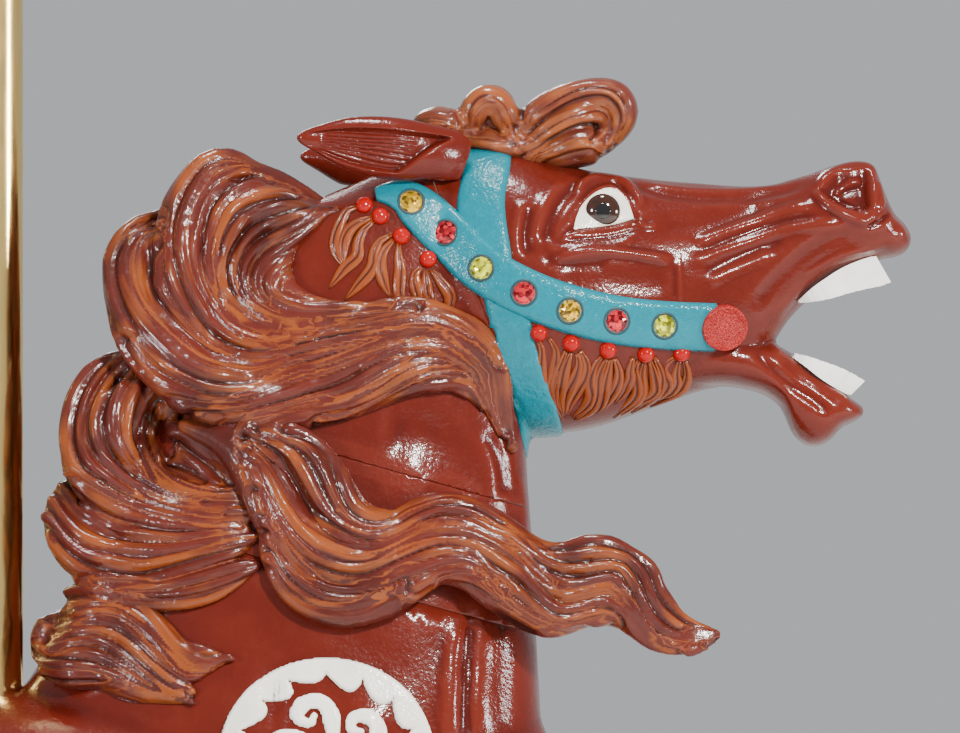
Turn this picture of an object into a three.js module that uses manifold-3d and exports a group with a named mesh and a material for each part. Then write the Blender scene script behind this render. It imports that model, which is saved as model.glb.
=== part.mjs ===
// A carved wooden carousel horse, a jumper on its brass pole, in millimetres.
// +Z is up and the horse faces +X, so its right side, the outer one on the ride, faces -Y.
// The origin is the centre of the flat underside of the pole's foot.
import * as THREE from "three";
import { mergeVertices } from "three/addons/utils/BufferGeometryUtils.js";
import Module from "manifold-3d";

const wasm = await Module();
wasm.setup();

// Driving dimensions
const seam = 0.3; // the paint film between pieces that touch
const shortestEdge = 0.03; // a cut can leave shorter ones, and they are closed up
const poleRadius = 25.4;
const poleTop = 1985;
const footThickness = 14;
const strapThickness = 3.5;
const strapWidth = 38;
const clothThickness = 8;
const flapThickness = 6;
const reliefHeight = 7;
const jewelRadius = 11;
const rosetteRadius = 19;
const farOut = 400; // half the width of the prisms that cut both sides at once
const RIGHT = -1;
const LEFT = 1;

// Trunk stations. The head and the body go by x, the neck goes by z, and each row ends with the half width.
const head = {
  along: "x",
  power: 2.4,
  sides: 16,
  rows: [
    [338, 1376, 1225, 36],
    [360, 1386, 1195, 58],
    [390, 1392, 1176, 71],
    [420, 1389, 1164, 77],
    [450, 1380, 1163, 79],
    [487, 1372, 1169, 77],
    [527, 1367, 1183, 70],
    [567, 1364, 1197, 62],
    [600, 1363, 1206, 55],
    [622, 1363, 1230, 51],
    [638, 1366, 1254, 50],
    [655, 1371, 1271, 50],
    [675, 1377, 1284, 50],
    [693, 1381, 1294, 48],
    [706, 1378, 1300, 45],
    [714, 1360, 1303, 40],
    [722, 1341, 1304, 35],
    [731, 1332, 1308, 26],
    [736, 1323, 1316, 12],
  ],
};
const neck = {
  along: "z",
  power: 3,
  sides: 16,
  rows: [
    [890, -10, 440, 122],
    [940, 12, 439, 116],
    [985, 42, 437, 106],
    [1040, 66, 434, 96],
    [1100, 80, 431, 88],
    [1150, 98, 428, 82],
    [1200, 122, 424, 77],
    [1250, 142, 418, 72],
    [1300, 168, 410, 66],
    [1335, 205, 400, 58],
    [1352, 262, 385, 46],
    [1362, 300, 370, 30],
  ],
};
const body = {
  along: "x",
  power: 2.5,
  sides: 18,
  rows: [
    [-582, 850, 800, 30],
    [-565, 888, 762, 80],
    [-530, 928, 726, 118],
    [-470, 957, 704, 146],
    [-400, 964, 692, 156],
    [-300, 952, 676, 156],
    [-200, 938, 656, 155],
    [-100, 940, 640, 155],
    [0, 955, 630, 152],
    [120, 968, 628, 148],
    [220, 972, 638, 142],
    [300, 970, 658, 134],
    [360, 965, 686, 124],
    [410, 953, 722, 108],
    [440, 932, 765, 84],
    [452, 900, 800, 50],
  ],
};
const jaw = {
  along: "x",
  power: 2.6,
  sides: 12,
  rows: [
    [540, 1250, 1195, 44],
    [580, 1246, 1201, 48],
    [610, 1240, 1197, 46],
    [625, 1236, 1190, 44],
    [633, 1232, 1181, 43],
    [641, 1227, 1163, 42],
    [651, 1220, 1154, 42],
    [661, 1212, 1153, 42],
    [671, 1204, 1158, 41],
    [679, 1198, 1167, 39],
    [687, 1192, 1171, 35],
    [694, 1187, 1175, 26],
    [698, 1184, 1179, 12],
  ],
};

// Legs: x, z, half depth fore and aft, half width. The hoof starts at the last row.
const legs = {
  foreleg_right: {
    out: RIGHT * 78,
    rows: [
      [315, 800, 82, 58],
      [345, 715, 72, 54],
      [395, 650, 54, 43],
      [448, 592, 39, 34],
      [478, 562, 37, 35],
      [470, 520, 29, 28],
      [442, 455, 22, 21],
      [418, 402, 24, 22],
      [406, 372, 29, 26],
      [392, 338, 25, 23],
      [382, 312, 33, 31],
    ],
    toe: [364, 262],
  },
  foreleg_left: {
    out: LEFT * 78,
    rows: [
      [325, 805, 82, 58],
      [382, 728, 70, 52],
      [448, 690, 51, 41],
      [516, 655, 38, 34],
      [550, 634, 37, 35],
      [558, 590, 29, 28],
      [554, 520, 22, 21],
      [551, 462, 24, 22],
      [553, 432, 29, 26],
      [562, 396, 25, 23],
      [570, 370, 33, 31],
    ],
    toe: [588, 321],
  },
  hindleg_right: {
    out: RIGHT * 82,
    rows: [
      [-440, 830, 100, 66],
      [-415, 730, 100, 66],
      [-420, 660, 74, 55],
      [-468, 600, 52, 43],
      [-525, 552, 38, 33],
      [-565, 518, 37, 31],
      [-572, 468, 28, 25],
      [-566, 400, 23, 22],
      [-562, 352, 29, 26],
      [-572, 318, 25, 23],
      [-580, 294, 33, 31],
    ],
    toe: [-598, 245],
  },
  hindleg_left: {
    out: LEFT * 82,
    rows: [
      [-430, 830, 100, 66],
      [-380, 720, 96, 64],
      [-365, 650, 70, 53],
      [-396, 580, 50, 42],
      [-444, 522, 38, 33],
      [-480, 486, 37, 31],
      [-476, 438, 28, 25],
      [-456, 372, 23, 22],
      [-444, 326, 29, 26],
      [-434, 292, 25, 23],
      [-426, 268, 33, 31],
    ],
    toe: [-408, 219],
  },
};

// Locks of hair: the middle line as x, z and, where the lock leaves the neck, its own distance from the
// mid-plane; the width and the thickness from root to tip. lift is how far the middle stands off the neck.
const hair = { width: [30, 40, 40, 34, 14], thick: [26, 34, 32, 28, 14], lift: 2 };
const curl = { width: [26, 32, 32, 24, 8], thick: [22, 28, 26, 20, 8], lift: 2 };
const maneUpper = [
  { ...hair, path: [[139, 1338, 20], [111, 1324, 34], [104, 1296, 46], [112, 1256, 60], [138, 1220, 76],
    [177, 1194, 84], [227, 1184], [275, 1186], [321, 1202], [359, 1218], [393, 1212], [409, 1188]] },
  { ...hair, path: [[275, 1346, 24], [235, 1364, 22], [191, 1368, 30], [161, 1352, 44], [146, 1324, 58],
    [146, 1282, 70], [160, 1246], [189, 1218], [235, 1204], [283, 1208], [327, 1224], [367, 1234],
    [396, 1222], [408, 1198]] },
  { ...hair, path: [[269, 1342, 34], [231, 1348, 44], [195, 1346, 54], [177, 1320, 62], [174, 1286],
    [191, 1250], [227, 1230], [271, 1230], [315, 1242], [355, 1249], [386, 1238], [402, 1220]] },
  { ...curl, path: [[265, 1336, 46], [235, 1336, 52], [211, 1326, 58], [200, 1300], [208, 1268], [235, 1250],
    [275, 1246], [315, 1256], [350, 1262], [378, 1252]] },
  { ...curl, path: [[268, 1330, 52], [245, 1322, 57], [228, 1304], [230, 1280], [251, 1264], [283, 1261],
    [321, 1268]] },
];
const maneMiddle = [
  { ...hair, path: [[122, 1226, 40], [87, 1216, 30], [68, 1190, 42], [63, 1160, 52], [75, 1131, 70],
    [107, 1110], [151, 1102], [187, 1102], [214, 1104]] },
  { ...hair, path: [[131, 1208, 62], [103, 1190, 62], [88, 1162, 66], [97, 1136], [127, 1122], [171, 1116],
    [213, 1116]] },
  { ...curl, path: [[150, 1196], [123, 1178], [116, 1152], [135, 1134], [171, 1128], [210, 1132]] },
  { ...hair, path: [[76, 1134, 30], [54, 1116, 34], [50, 1092, 50], [62, 1070, 68], [93, 1062], [135, 1064],
    [179, 1073], [214, 1084]] },
  { ...hair, path: [[58, 1084, 24], [58, 1060, 44], [81, 1045, 78], [127, 1040], [175, 1046], [214, 1058]] },
];
const maneLower = [
  { ...hair, path: [[64, 1036, 56], [85, 1036, 84], [113, 1028], [140, 1008], [167, 988], [196, 980]] },
  { ...hair, path: [[54, 1012, 50], [81, 1012, 84], [117, 998], [147, 980], [179, 968]] },
  { ...hair, path: [[42, 986, 44], [62, 986, 72], [97, 978], [129, 964], [165, 950]] },
  { ...curl, path: [[42, 969, 56], [62, 964, 84], [97, 962], [129, 953], [163, 945]] },
];
const flowing = { width: [28, 38, 40, 38, 34, 30, 10], thick: [24, 34, 36, 38, 38, 32, 12], lift: 6 };
const flyingLock = [
  { ...flowing, path: [[171, 1166], [217, 1163], [257, 1150], [284, 1126], [300, 1104], [327, 1094],
    [359, 1104], [395, 1108, 92], [427, 1090, 92], [455, 1074, 88], [487, 1072, 84], [515, 1058, 82],
    [534, 1036, 80], [556, 1014, 80], [583, 1004, 82]] },
  { ...flowing, path: [[151, 1171], [189, 1154], [217, 1124], [235, 1092], [260, 1068], [292, 1062],
    [327, 1074], [359, 1088, 98], [391, 1090, 98], [423, 1070, 96], [455, 1052, 92], [487, 1051, 88],
    [515, 1034, 86], [537, 1012, 84], [560, 1002, 83], [582, 1002, 82]] },
  { ...flowing, path: [[219, 1090], [231, 1062], [255, 1040], [287, 1032], [323, 1042], [355, 1062, 100],
    [387, 1064, 100], [415, 1044, 98], [447, 1026, 94], [481, 1024, 90], [509, 1008, 87], [533, 993, 85],
    [558, 992, 83], [581, 1000, 82]] },
];
const maneLeftUpper = [
  { ...hair, path: [[262, 1346, 20], [222, 1360, 26], [180, 1350, 40], [152, 1314, 60], [150, 1268],
    [176, 1226], [226, 1206], [282, 1206]] },
  { ...hair, path: [[258, 1336, 44], [220, 1338, 52], [188, 1312], [186, 1272], [214, 1240], [262, 1234],
    [312, 1244]] },
  { ...hair, path: [[142, 1330, 26], [118, 1288, 44], [122, 1240, 66], [154, 1206], [204, 1188], [256, 1186]] },
];
const tuft = { width: [26, 40, 44, 40, 16], thick: [22, 34, 38, 36, 16] };
const forelock = [
  { ...tuft, path: [[338, 1394, 22], [367, 1414, 24], [391, 1428, 22], [419, 1426, 20], [446, 1408, 20]] },
  { ...tuft, path: [[352, 1398, -18], [384, 1416, -20], [416, 1420, -16], [446, 1410, -10]] },
  { ...tuft, path: [[392, 1404, 14], [427, 1402, 22], [455, 1418, 26], [479, 1432, 26], [503, 1430, 22],
    [506, 1408, 18]] },
  { ...tuft, path: [[396, 1404, -8], [432, 1408, -10], [466, 1424, -12], [490, 1424, -10], [498, 1400, -6]] },
  { ...tuft, path: [[410, 1396, 4], [448, 1394, 8], [486, 1404, 8]] },
];
const tailHair = { width: [44, 62, 66, 58, 16], thick: [40, 56, 58, 50, 14] };
const tail = [
  { ...tailHair, path: [[-556, 912, 0], [-606, 934, 4], [-662, 906, 10], [-694, 838, 16], [-690, 752, 20],
    [-668, 672, 20], [-680, 592, 16], [-728, 532, 10]] },
  { ...tailHair, path: [[-560, 900, 0], [-604, 904, -8], [-646, 866, -18], [-660, 790, -24], [-646, 700, -24],
    [-636, 624, -20], [-664, 556, -14]] },
  { ...tailHair, path: [[-600, 932, 2], [-668, 930, 0], [-720, 870, -6], [-732, 782, -8], [-708, 700, -6],
    [-714, 624, -4], [-764, 574, 0]] },
];

// Bridle and trappings, as middle lines and outlines in the plane of symmetry: x, z
const jewelledStrapLine = [[317, 1361], [333, 1350], [363, 1324], [392, 1297], [426, 1276], [463, 1262],
  [501, 1254], [539, 1249], [574, 1248]];
const crownStrapLine = [[400, 1440], [397, 1396], [396, 1358], [399, 1326], [408, 1294]];
const throatStrapLine = [[412, 1264], [421, 1226], [429, 1190], [437, 1160], [442, 1120]];
const jewelPlaces = [[336, 1349], [363, 1324], [392, 1296], [426, 1276], [463, 1261], [501, 1253], [539, 1249]];
const jewelFinishes = ["amber", "ruby", "citrine", "ruby", "amber", "ruby", "citrine"];
const rosettePlace = [586, 1249];
const eye = { x: 490, z: 1344, radius: 14, bulge: 11 };
const breastStrapLine = [[-60, 872], [60, 866], [180, 852], [300, 838], [400, 832], [480, 834]];
const medallion = { x: 270, z: 911, halfWidth: 84, halfHeight: 76, band: 21 };
const clothOutline = [[-36, 1040], [-34, 900], [-10, 800], [4, 752], [-52, 772], [-100, 728], [-152, 766],
  [-204, 724], [-256, 766], [-308, 728], [-352, 776], [-338, 880], [-334, 1040]];
const flapOutline = [[-86, 968], [-84, 880], [-98, 810], [-138, 780], [-186, 780], [-224, 812], [-236, 880],
  [-232, 968]];
const girth = { front: -128, back: -176 };
const crupper = { front: -330, back: -590, halfWidth: 13 };
const saddle = {
  along: "x",
  power: 2.6,
  sides: 14,
  rows: [
    [-318, 1052, 930, 66],
    [-304, 1062, 925, 92],
    [-280, 1040, 922, 104],
    [-240, 1000, 920, 108],
    [-190, 978, 920, 106],
    [-140, 972, 922, 98],
    [-96, 984, 925, 84],
    [-66, 1010, 930, 66],
    [-46, 1018, 936, 46],
    [-38, 1010, 944, 30],
  ],
};
const stirrup = { x: -160, out: 176, top: 662, height: 104, width: 118, bar: 9, arch: 14, tread: 44, strap: 26 };

// Reads a row of stations at one place along its axis
function rowAt(form, place) {
  const rows = form.rows;
  const rising = rows[0][0] < rows[rows.length - 1][0];
  const next = rows.findIndex((row) => (rising ? row[0] >= place : row[0] <= place));
  if (next < 1) return null;
  const [before, after] = [rows[next - 1], rows[next]];
  const share = (place - before[0]) / (after[0] - before[0]);
  return before.map((value, i) => value + (after[i] - value) * share);
}

// How far the side of one form stands from the plane of symmetry at x, z
function sideOf(form, x, z, grow = 0) {
  const [place, across] = form.along === "x" ? [x, z] : [z, x];
  const row = rowAt(form, place);
  if (!row) return 0;
  const half = Math.abs(row[1] - row[2]) / 2 + grow;
  const off = Math.abs(across - (row[1] + row[2]) / 2) / half;
  return off >= 1 ? 0 : (row[3] + grow) * (1 - off ** form.power) ** (1 / form.power);
}

function sideDepth(x, z) {
  return Math.max(...[head, neck, body, jaw].map((form) => sideOf(form, x, z)));
}

// Closes a stack of rings with a fan at each end and turns the faces outwards
function skin(rings) {
  const sides = rings[0].length;
  const points = rings.flat();
  const ends = [rings[0], rings[rings.length - 1]];
  for (const ring of ends) {
    const middle = ring.reduce((sum, p) => sum.add(p), new THREE.Vector3()).divideScalar(sides);
    points.push(middle);
  }
  const faces = [];
  for (let r = 0; r + 1 < rings.length; r++) {
    for (let i = 0; i < sides; i++) {
      const [a, b] = [r * sides + i, r * sides + ((i + 1) % sides)];
      faces.push(a, b, a + sides, b, b + sides, a + sides);
    }
  }
  const last = (rings.length - 1) * sides;
  for (let i = 0; i < sides; i++) {
    const j = (i + 1) % sides;
    faces.push(rings.length * sides, j, i, rings.length * sides + 1, last + i, last + j);
  }
  const geometry = new THREE.BufferGeometry().setFromPoints(points);
  geometry.setIndex(faces);
  return geometry;
}

// A closed three.js geometry as a solid that can be joined and cut
function solid(geometry) {
  const bare = geometry.clone();
  bare.deleteAttribute("normal");
  bare.deleteAttribute("uv");
  const merged = mergeVertices(bare, 1e-3);
  const build = (triVerts) =>
    new wasm.Manifold(
      new wasm.Mesh({ numProp: 3, vertProperties: merged.attributes.position.array, triVerts }),
    );
  const triVerts = new Uint32Array(merged.index.array);
  const made = build(triVerts);
  return made.volume() > 0 ? made : build(triVerts.reverse());
}

function superRing(sides, power) {
  const root = (v) => Math.sign(v) * Math.abs(v) ** (2 / power);
  return Array.from({ length: sides }, (_, i) => {
    const angle = (2 * Math.PI * (i + 0.5)) / sides;
    return [root(Math.cos(angle)), root(Math.sin(angle))];
  });
}

// A form from its stations, swollen by grow all round
function loft(form, grow = 0) {
  const unit = superRing(form.sides, form.power);
  const last = form.rows.length - 1;
  const rings = form.rows.map(([place, high, low, halfWidth], r) => {
    const middle = (high + low) / 2;
    const half = Math.abs(high - low) / 2 + grow;
    const rising = form.rows[last][0] > form.rows[0][0] ? 1 : -1;
    const along = place + rising * (r === 0 ? -grow : r === last ? grow : 0);
    return unit.map(([u, v]) => {
      const [across, out] = [middle + half * u, (halfWidth + grow) * v];
      return form.along === "x"
        ? new THREE.Vector3(along, out, across)
        : new THREE.Vector3(across, out, along);
    });
  });
  return solid(skin(rings));
}

function legForm(leg, grow = 0) {
  const unit = superRing(10, 2.2);
  const spine = leg.rows.map(([x, z]) => new THREE.Vector3(x, leg.out, z));
  const toe = new THREE.Vector3(leg.toe[0], leg.out, leg.toe[1]);
  const rings = leg.rows.map(([, , fore, wide], i) => {
    const isLast = i === spine.length - 1;
    const from = isLast ? spine[i] : spine[Math.max(i - 1, 0)];
    const run = (isLast ? toe : spine[i + 1]).clone().sub(from).normalize();
    const across = new THREE.Vector3(-run.z, 0, run.x);
    return unit.map(([u, v]) =>
      spine[i].clone().addScaledVector(across, (fore + grow) * u).add(new THREE.Vector3(0, (wide + grow) * v, 0)),
    );
  });
  return solid(skin(rings));
}

// A hoof flares from the coronet at the leg's last row down to its flat sole
function hoof(leg) {
  const [x, z, fore, wide] = leg.rows[leg.rows.length - 1];
  const start = new THREE.Vector3(x, leg.out, z);
  const end = new THREE.Vector3(leg.toe[0], leg.out, leg.toe[1]);
  const run = end.clone().sub(start).normalize();
  const across = new THREE.Vector3(-run.z, 0, run.x);
  const unit = superRing(10, 2.2);
  const flare = [[seam, 1.04], [12, 1.1], [end.distanceTo(start), 1.36]];
  const rings = flare.map(([along, size]) =>
    unit.map(([u, v]) =>
      start.clone().addScaledVector(run, along).addScaledVector(across, fore * size * u)
        .add(new THREE.Vector3(0, wide * size * v, 0)),
    ),
  );
  return solid(skin(rings));
}

function along(values, share) {
  const at = share * (values.length - 1);
  const i = Math.min(Math.floor(at), values.length - 2);
  return values[i] + (values[i + 1] - values[i]) * (at - i);
}

// One lock of hair, an oval swept along its line and turned to lie on the neck
function lockForm(lock, side, grow = 0) {
  const points = lock.path.map(([x, z, out]) =>
    new THREE.Vector3(x, side * (out ?? sideOf(neck, x, z) + lock.lift), z),
  );
  const curve = new THREE.CatmullRomCurve3(points, false, "centripetal");
  const steps = lock.path.length - 1;
  const unit = superRing(6, 2);
  const rings = [];
  for (let i = 0; i <= steps; i++) {
    const share = i / steps;
    const middle = curve.getPoint(share);
    const run = curve.getTangent(share);
    const outward = new THREE.Vector3(0, side, 0);
    outward.addScaledVector(run, -outward.dot(run)).normalize();
    const across = new THREE.Vector3().crossVectors(run, outward);
    const halfWidth = along(lock.width, share) / 2 + grow;
    const halfThick = along(lock.thick, share) / 2 + grow;
    rings.push(unit.map(([u, v]) =>
      middle.clone().addScaledVector(across, halfWidth * u).addScaledVector(outward, halfThick * v),
    ));
  }
  return solid(skin(rings));
}

function join(solids) {
  return solids.reduce((sum, next) => sum.add(next));
}

function locks(list, side, grow = 0) {
  return join(list.map((lock) => lockForm(lock, side, grow)));
}

// A flat outline in the plane of symmetry, pushed through from one distance out to another
function prism(outline, from, to) {
  const shape = new THREE.Shape(outline.map(([x, z]) => new THREE.Vector2(x, z)));
  return prismOf(shape, from, to);
}

function prismOf(shape, from, to) {
  const geometry = new THREE.ExtrudeGeometry(shape, {
    depth: to - from,
    bevelEnabled: false,
    curveSegments: 7,
  });
  geometry.rotateX(Math.PI / 2);
  geometry.translate(0, to, 0);
  return solid(geometry);
}

// The outline of a band of even width along a line
function bandOutline(line, width) {
  const half = width / 2;
  const curve = new THREE.SplineCurve(line.map(([x, z]) => new THREE.Vector2(x, z)));
  const steps = Math.round(line.length * 1.3);
  const edge = (sign) =>
    Array.from({ length: steps + 1 }, (_, i) => {
      const p = curve.getPoint(i / steps);
      const t = curve.getTangent(i / steps);
      return [p.x - sign * half * t.y, p.y + sign * half * t.x];
    });
  return [...edge(1), ...edge(-1).reverse()];
}

function wholeHorse(grow = 0) {
  return join([head, neck, body].map((form) => loft(form, grow)));
}

// Everything on one side of a plane that stands across the plane of symmetry
function beyond(x, z, normalX, normalZ, offset) {
  const size = 4000;
  const box = new THREE.BoxGeometry(size, size, size);
  box.translate(size / 2 + offset, 0, 0);
  box.rotateY(-Math.atan2(normalZ, normalX));
  box.translate(x, 0, z);
  return solid(box);
}

function turned(profile, x, y, z, segments = 24) {
  const geometry = new THREE.LatheGeometry(profile.map(([r, h]) => new THREE.Vector2(r, h)), segments);
  geometry.rotateX(Math.PI / 2);
  geometry.translate(x, y, z);
  return solid(geometry);
}

function ball(x, y, z, rx, ry, rz) {
  const geometry = new THREE.SphereGeometry(1, 12, 6);
  geometry.scale(rx, ry, rz);
  geometry.translate(x, y, z);
  return solid(geometry);
}

// A round disc or stone that faces out of the horse's side, slightly domed
function stone(x, z, side, radius, bed, height) {
  const out = sideDepth(x, z) + bed;
  const profile = [[0, -6], [radius, -6], [radius, height * 0.55], [radius * 0.6, height], [0, height]];
  const geometry = new THREE.LatheGeometry(profile.map(([r, h]) => new THREE.Vector2(r, h)), 10);
  if (side < 0) geometry.rotateX(Math.PI);
  geometry.translate(x, side * out, z);
  return solid(geometry);
}

// Solids that others are cut back from, a paint film larger than they are
const flesh = wholeHorse(seam);
const jawAndHead = (grow) => join([wholeHorse(grow), loft(jaw, grow)]);
const strapSkin = jawAndHead(strapThickness).subtract(jawAndHead(seam));

function strapPatch(line, width, from, to) {
  return strapSkin.intersect(prism(bandOutline(line, width), from, to));
}

const sideSpan = (side) => (side < 0 ? [-farOut, 0] : [0, farOut]);

// The trunk, glued up from blocks: two slanted joints cross the neck and one lies behind the jowl
function carvedTrunk() {
  const whole = wholeHorse();
  const half = seam / 2;
  const front = beyond(340, 1400, 250, 97, half);
  const behind = beyond(340, 1400, -250, -97, half);
  const above = (x, z) => beyond(x, z, 0.28, 1, half);
  const below = (x, z) => beyond(x, z, -0.28, -1, half);
  const bore = turned([[0, 0], [poleRadius + seam, 0], [poleRadius + seam, 1200], [0, 1200]], 0, 0, 200);
  const rear = whole.intersect(behind);
  const nostrils = [RIGHT, LEFT].map((side) => ball(688, side * 46, 1361, 17, 12, 12));
  const sockets = [RIGHT, LEFT].map((side) => eyeBall(side, seam));
  return {
    head: whole.intersect(front).subtract(join([...nostrils, ...sockets])),
    neck_upper: rear.intersect(above(298, 1141)),
    neck_lower: rear.intersect(below(298, 1141)).intersect(above(323, 1036)),
    body: rear.intersect(below(323, 1036)).subtract(bore),
  };
}

function eyeBall(side, grow = 0) {
  const { x, z, radius, bulge } = eye;
  return ball(x, side * (sideDepth(x, z) - 4), z, radius + grow, bulge + grow, radius + grow);
}

function ear(side, grow = 0) {
  // Root to tip: x, z, distance out, half width, half thickness
  const rows = [
    [380, 1380, 47, 15, 14],
    [362, 1385, 50, 21, 17],
    [336, 1392, 54, 27, 16],
    [302, 1398, 58, 25, 13],
    [270, 1402, 62, 15, 9],
    [249, 1402, 64, 3, 3],
  ];
  const unit = superRing(8, 2);
  const rings = rows.map(([x, z, out, wide, thick], i) => {
    const slope = i < rows.length - 1 ? rows[i + 1] : rows[i];
    const origin = i < rows.length - 1 ? rows[i] : rows[i - 1];
    const run = new THREE.Vector3(slope[0] - origin[0], side * (slope[2] - origin[2]), slope[1] - origin[1]);
    run.normalize();
    const across = new THREE.Vector3(0, 0, 1).addScaledVector(run, -run.z).normalize();
    const outward = new THREE.Vector3().crossVectors(run, across);
    return unit.map(([u, v]) =>
      new THREE.Vector3(x, side * out, z).addScaledVector(across, (wide + grow) * u)
        .addScaledVector(outward, (thick + grow) * v),
    );
  });
  return solid(skin(rings));
}

function teeth(rows) {
  // Each row: x, top, underside, half width
  return loft({ along: "x", power: 4, sides: 12, rows });
}
const upperTeeth = [[648, 1290, 1266, 26], [668, 1300, 1271, 34], [695, 1312, 1277, 36], [716, 1308, 1282, 30],
  [721, 1304, 1284, 22]];
const lowerTeeth = [[648, 1226, 1190, 24], [671, 1217, 1180, 32], [690, 1211, 1180, 31], [698, 1207, 1190, 22]];

function oval(x, z, halfWidth, halfHeight) {
  return new THREE.Shape().absellipse(x, z, halfWidth, halfHeight, 0, 2 * Math.PI, false, 0);
}

// An oval wreath with an S of scrollwork across its opening
function scrollMedallion(side) {
  const { x, z, halfWidth, halfHeight, band } = medallion;
  const [from, to] = sideSpan(side);
  const ring = prismOf(oval(x, z, halfWidth, halfHeight), from, to)
    .subtract(prismOf(oval(x, z, halfWidth - band, halfHeight - band), from - 1, to + 1));
  const scroll = [[-31, 62], [-47, 31], [-29, 6], [0, 0], [29, -6], [47, -31], [31, -62]];
  const middle = bandOutline(scroll.map(([dx, dz]) => [x + dx, z + dz]), 17);
  return wholeHorse(reliefHeight).subtract(flesh).intersect(ring.add(prism(middle, from, to)));
}

function saddleCloth(grow = 0) {
  return wholeHorse(clothThickness + grow).intersect(prism(clothOutline, -farOut, farOut)).subtract(flesh);
}

function saddleFlap(side) {
  const [from, to] = sideSpan(side);
  return wholeHorse(clothThickness + flapThickness)
    .subtract(wholeHorse(clothThickness + seam))
    .intersect(prism(flapOutline, from + (side > 0 ? 40 : 0), to - (side < 0 ? 40 : 0)));
}

function girthStrap() {
  const ring = [[girth.back, 560], [girth.front, 560], [girth.front, 800], [girth.back, 800]];
  return wholeHorse(strapThickness + 1).subtract(flesh).intersect(prism(ring, -farOut, farOut));
}

function crupperStrap() {
  const box = new THREE.BoxGeometry(crupper.front - crupper.back, 2 * crupper.halfWidth, 300);
  box.translate((crupper.front + crupper.back) / 2, 0, 980);
  return wholeHorse(strapThickness).subtract(flesh).intersect(solid(box));
}

// The stirrup is a flat-footed loop of bar, and its strap hangs beside the saddle flap
function stirrupLoop(side) {
  const { x, out, top, height, width, bar, arch, tread } = stirrup;
  const shape = new THREE.Shape();
  const half = width / 2;
  shape.moveTo(-half, 0);
  shape.lineTo(half, 0);
  shape.quadraticCurveTo(half, height * 0.62, 20, height);
  shape.lineTo(-20, height);
  shape.quadraticCurveTo(-half, height * 0.62, -half, 0);
  const hole = new THREE.Path();
  const inner = half - bar;
  hole.moveTo(-inner, bar);
  hole.quadraticCurveTo(-inner, height * 0.6, -14, height - bar * 1.6);
  hole.lineTo(14, height - bar * 1.6);
  hole.quadraticCurveTo(inner, height * 0.6, inner, bar);
  shape.holes.push(hole);
  const loop = new THREE.ExtrudeGeometry(shape, { depth: arch, bevelEnabled: false, curveSegments: 6 });
  loop.rotateX(Math.PI / 2);
  loop.translate(x, side * out + arch / 2, top - height);
  const plate = new THREE.BoxGeometry(width, tread, bar);
  plate.translate(x, side * out, top - height + bar / 2);
  return solid(loop).add(solid(plate));
}

function stirrupStrap(side) {
  const { x, out, top, strap } = stirrup;
  // Follows the flap down from the saddle and then hangs free: distance out, z
  const onFlap = [918, 890, 860, 820, 780].map((z) => [sideOf(body, x, z, clothThickness + flapThickness) + 1.5, z]);
  const line = [...onFlap, [out, top + seam]];
  const points = line.map(([reach, z]) => new THREE.Vector3(x, side * reach, z));
  const rings = points.map((p) =>
    [[-1, -1], [1, -1], [1, 1], [-1, 1]].map(([u, v]) =>
      new THREE.Vector3(p.x + (u * strap) / 2, p.y + v * 2.5, p.z),
    ),
  );
  return solid(skin(rings));
}

const finishes = {
  coat: { color: 0x5e1c12, roughness: 0.3 },
  hair: { color: 0x7a3216, roughness: 0.3 },
  teal: { color: 0x15808c, roughness: 0.3 },
  red: { color: 0xb5140f, roughness: 0.35 },
  white: { color: 0xe4ded2, roughness: 0.45 },
  hoof: { color: 0x1d1512, roughness: 0.4 },
  leather: { color: 0x120e0c, roughness: 0.5 },
  eyeGlass: { color: 0x2a140a, roughness: 0.05 },
  amber: { color: 0xc98f18, roughness: 0.05 },
  ruby: { color: 0xc3102b, roughness: 0.05 },
  citrine: { color: 0xc9d024, roughness: 0.05 },
  brass: { color: 0xd9a83a, roughness: 0.18, metalness: 1 },
};
const carousel = new THREE.Group();

function place(name, shape, finish) {
  const { vertProperties, triVerts, numProp } = shape.simplify(shortestEdge).getMesh();
  const geometry = new THREE.BufferGeometry();
  const count = vertProperties.length / numProp;
  const positions = new Float32Array(count * 3);
  for (let i = 0; i < count; i++) {
    positions.set(vertProperties.subarray(i * numProp, i * numProp + 3), i * 3);
  }
  geometry.setAttribute("position", new THREE.BufferAttribute(positions, 3));
  geometry.setIndex(new THREE.BufferAttribute(triVerts, 1));
  const mesh = new THREE.Mesh(geometry, new THREE.MeshStandardMaterial(finishes[finish]));
  mesh.name = name;
  carousel.add(mesh);
}

// Keeps only the largest body of a solid, which drops slivers left by a cut
function largest(shape) {
  return shape.decompose().reduce((best, next) => (next.volume() > best.volume() ? next : best));
}

const trunk = carvedTrunk();
const lowerJaw = loft(jaw).subtract(flesh);
const headCover = jawAndHead(seam);
for (const name of ["head", "neck_upper", "neck_lower"]) place(name, trunk[name], "coat");
place("body", trunk.body, "coat");
place("lower_jaw", largest(lowerJaw), "coat");

const wholeLegs = [];
for (const [name, leg] of Object.entries(legs)) {
  place(name, largest(legForm(leg).subtract(flesh)), "coat");
  place(name.replace("foreleg", "fore_hoof").replace("hindleg", "hind_hoof"), hoof(leg), "hoof");
  wholeLegs.push(legForm(leg, seam));
}

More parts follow.
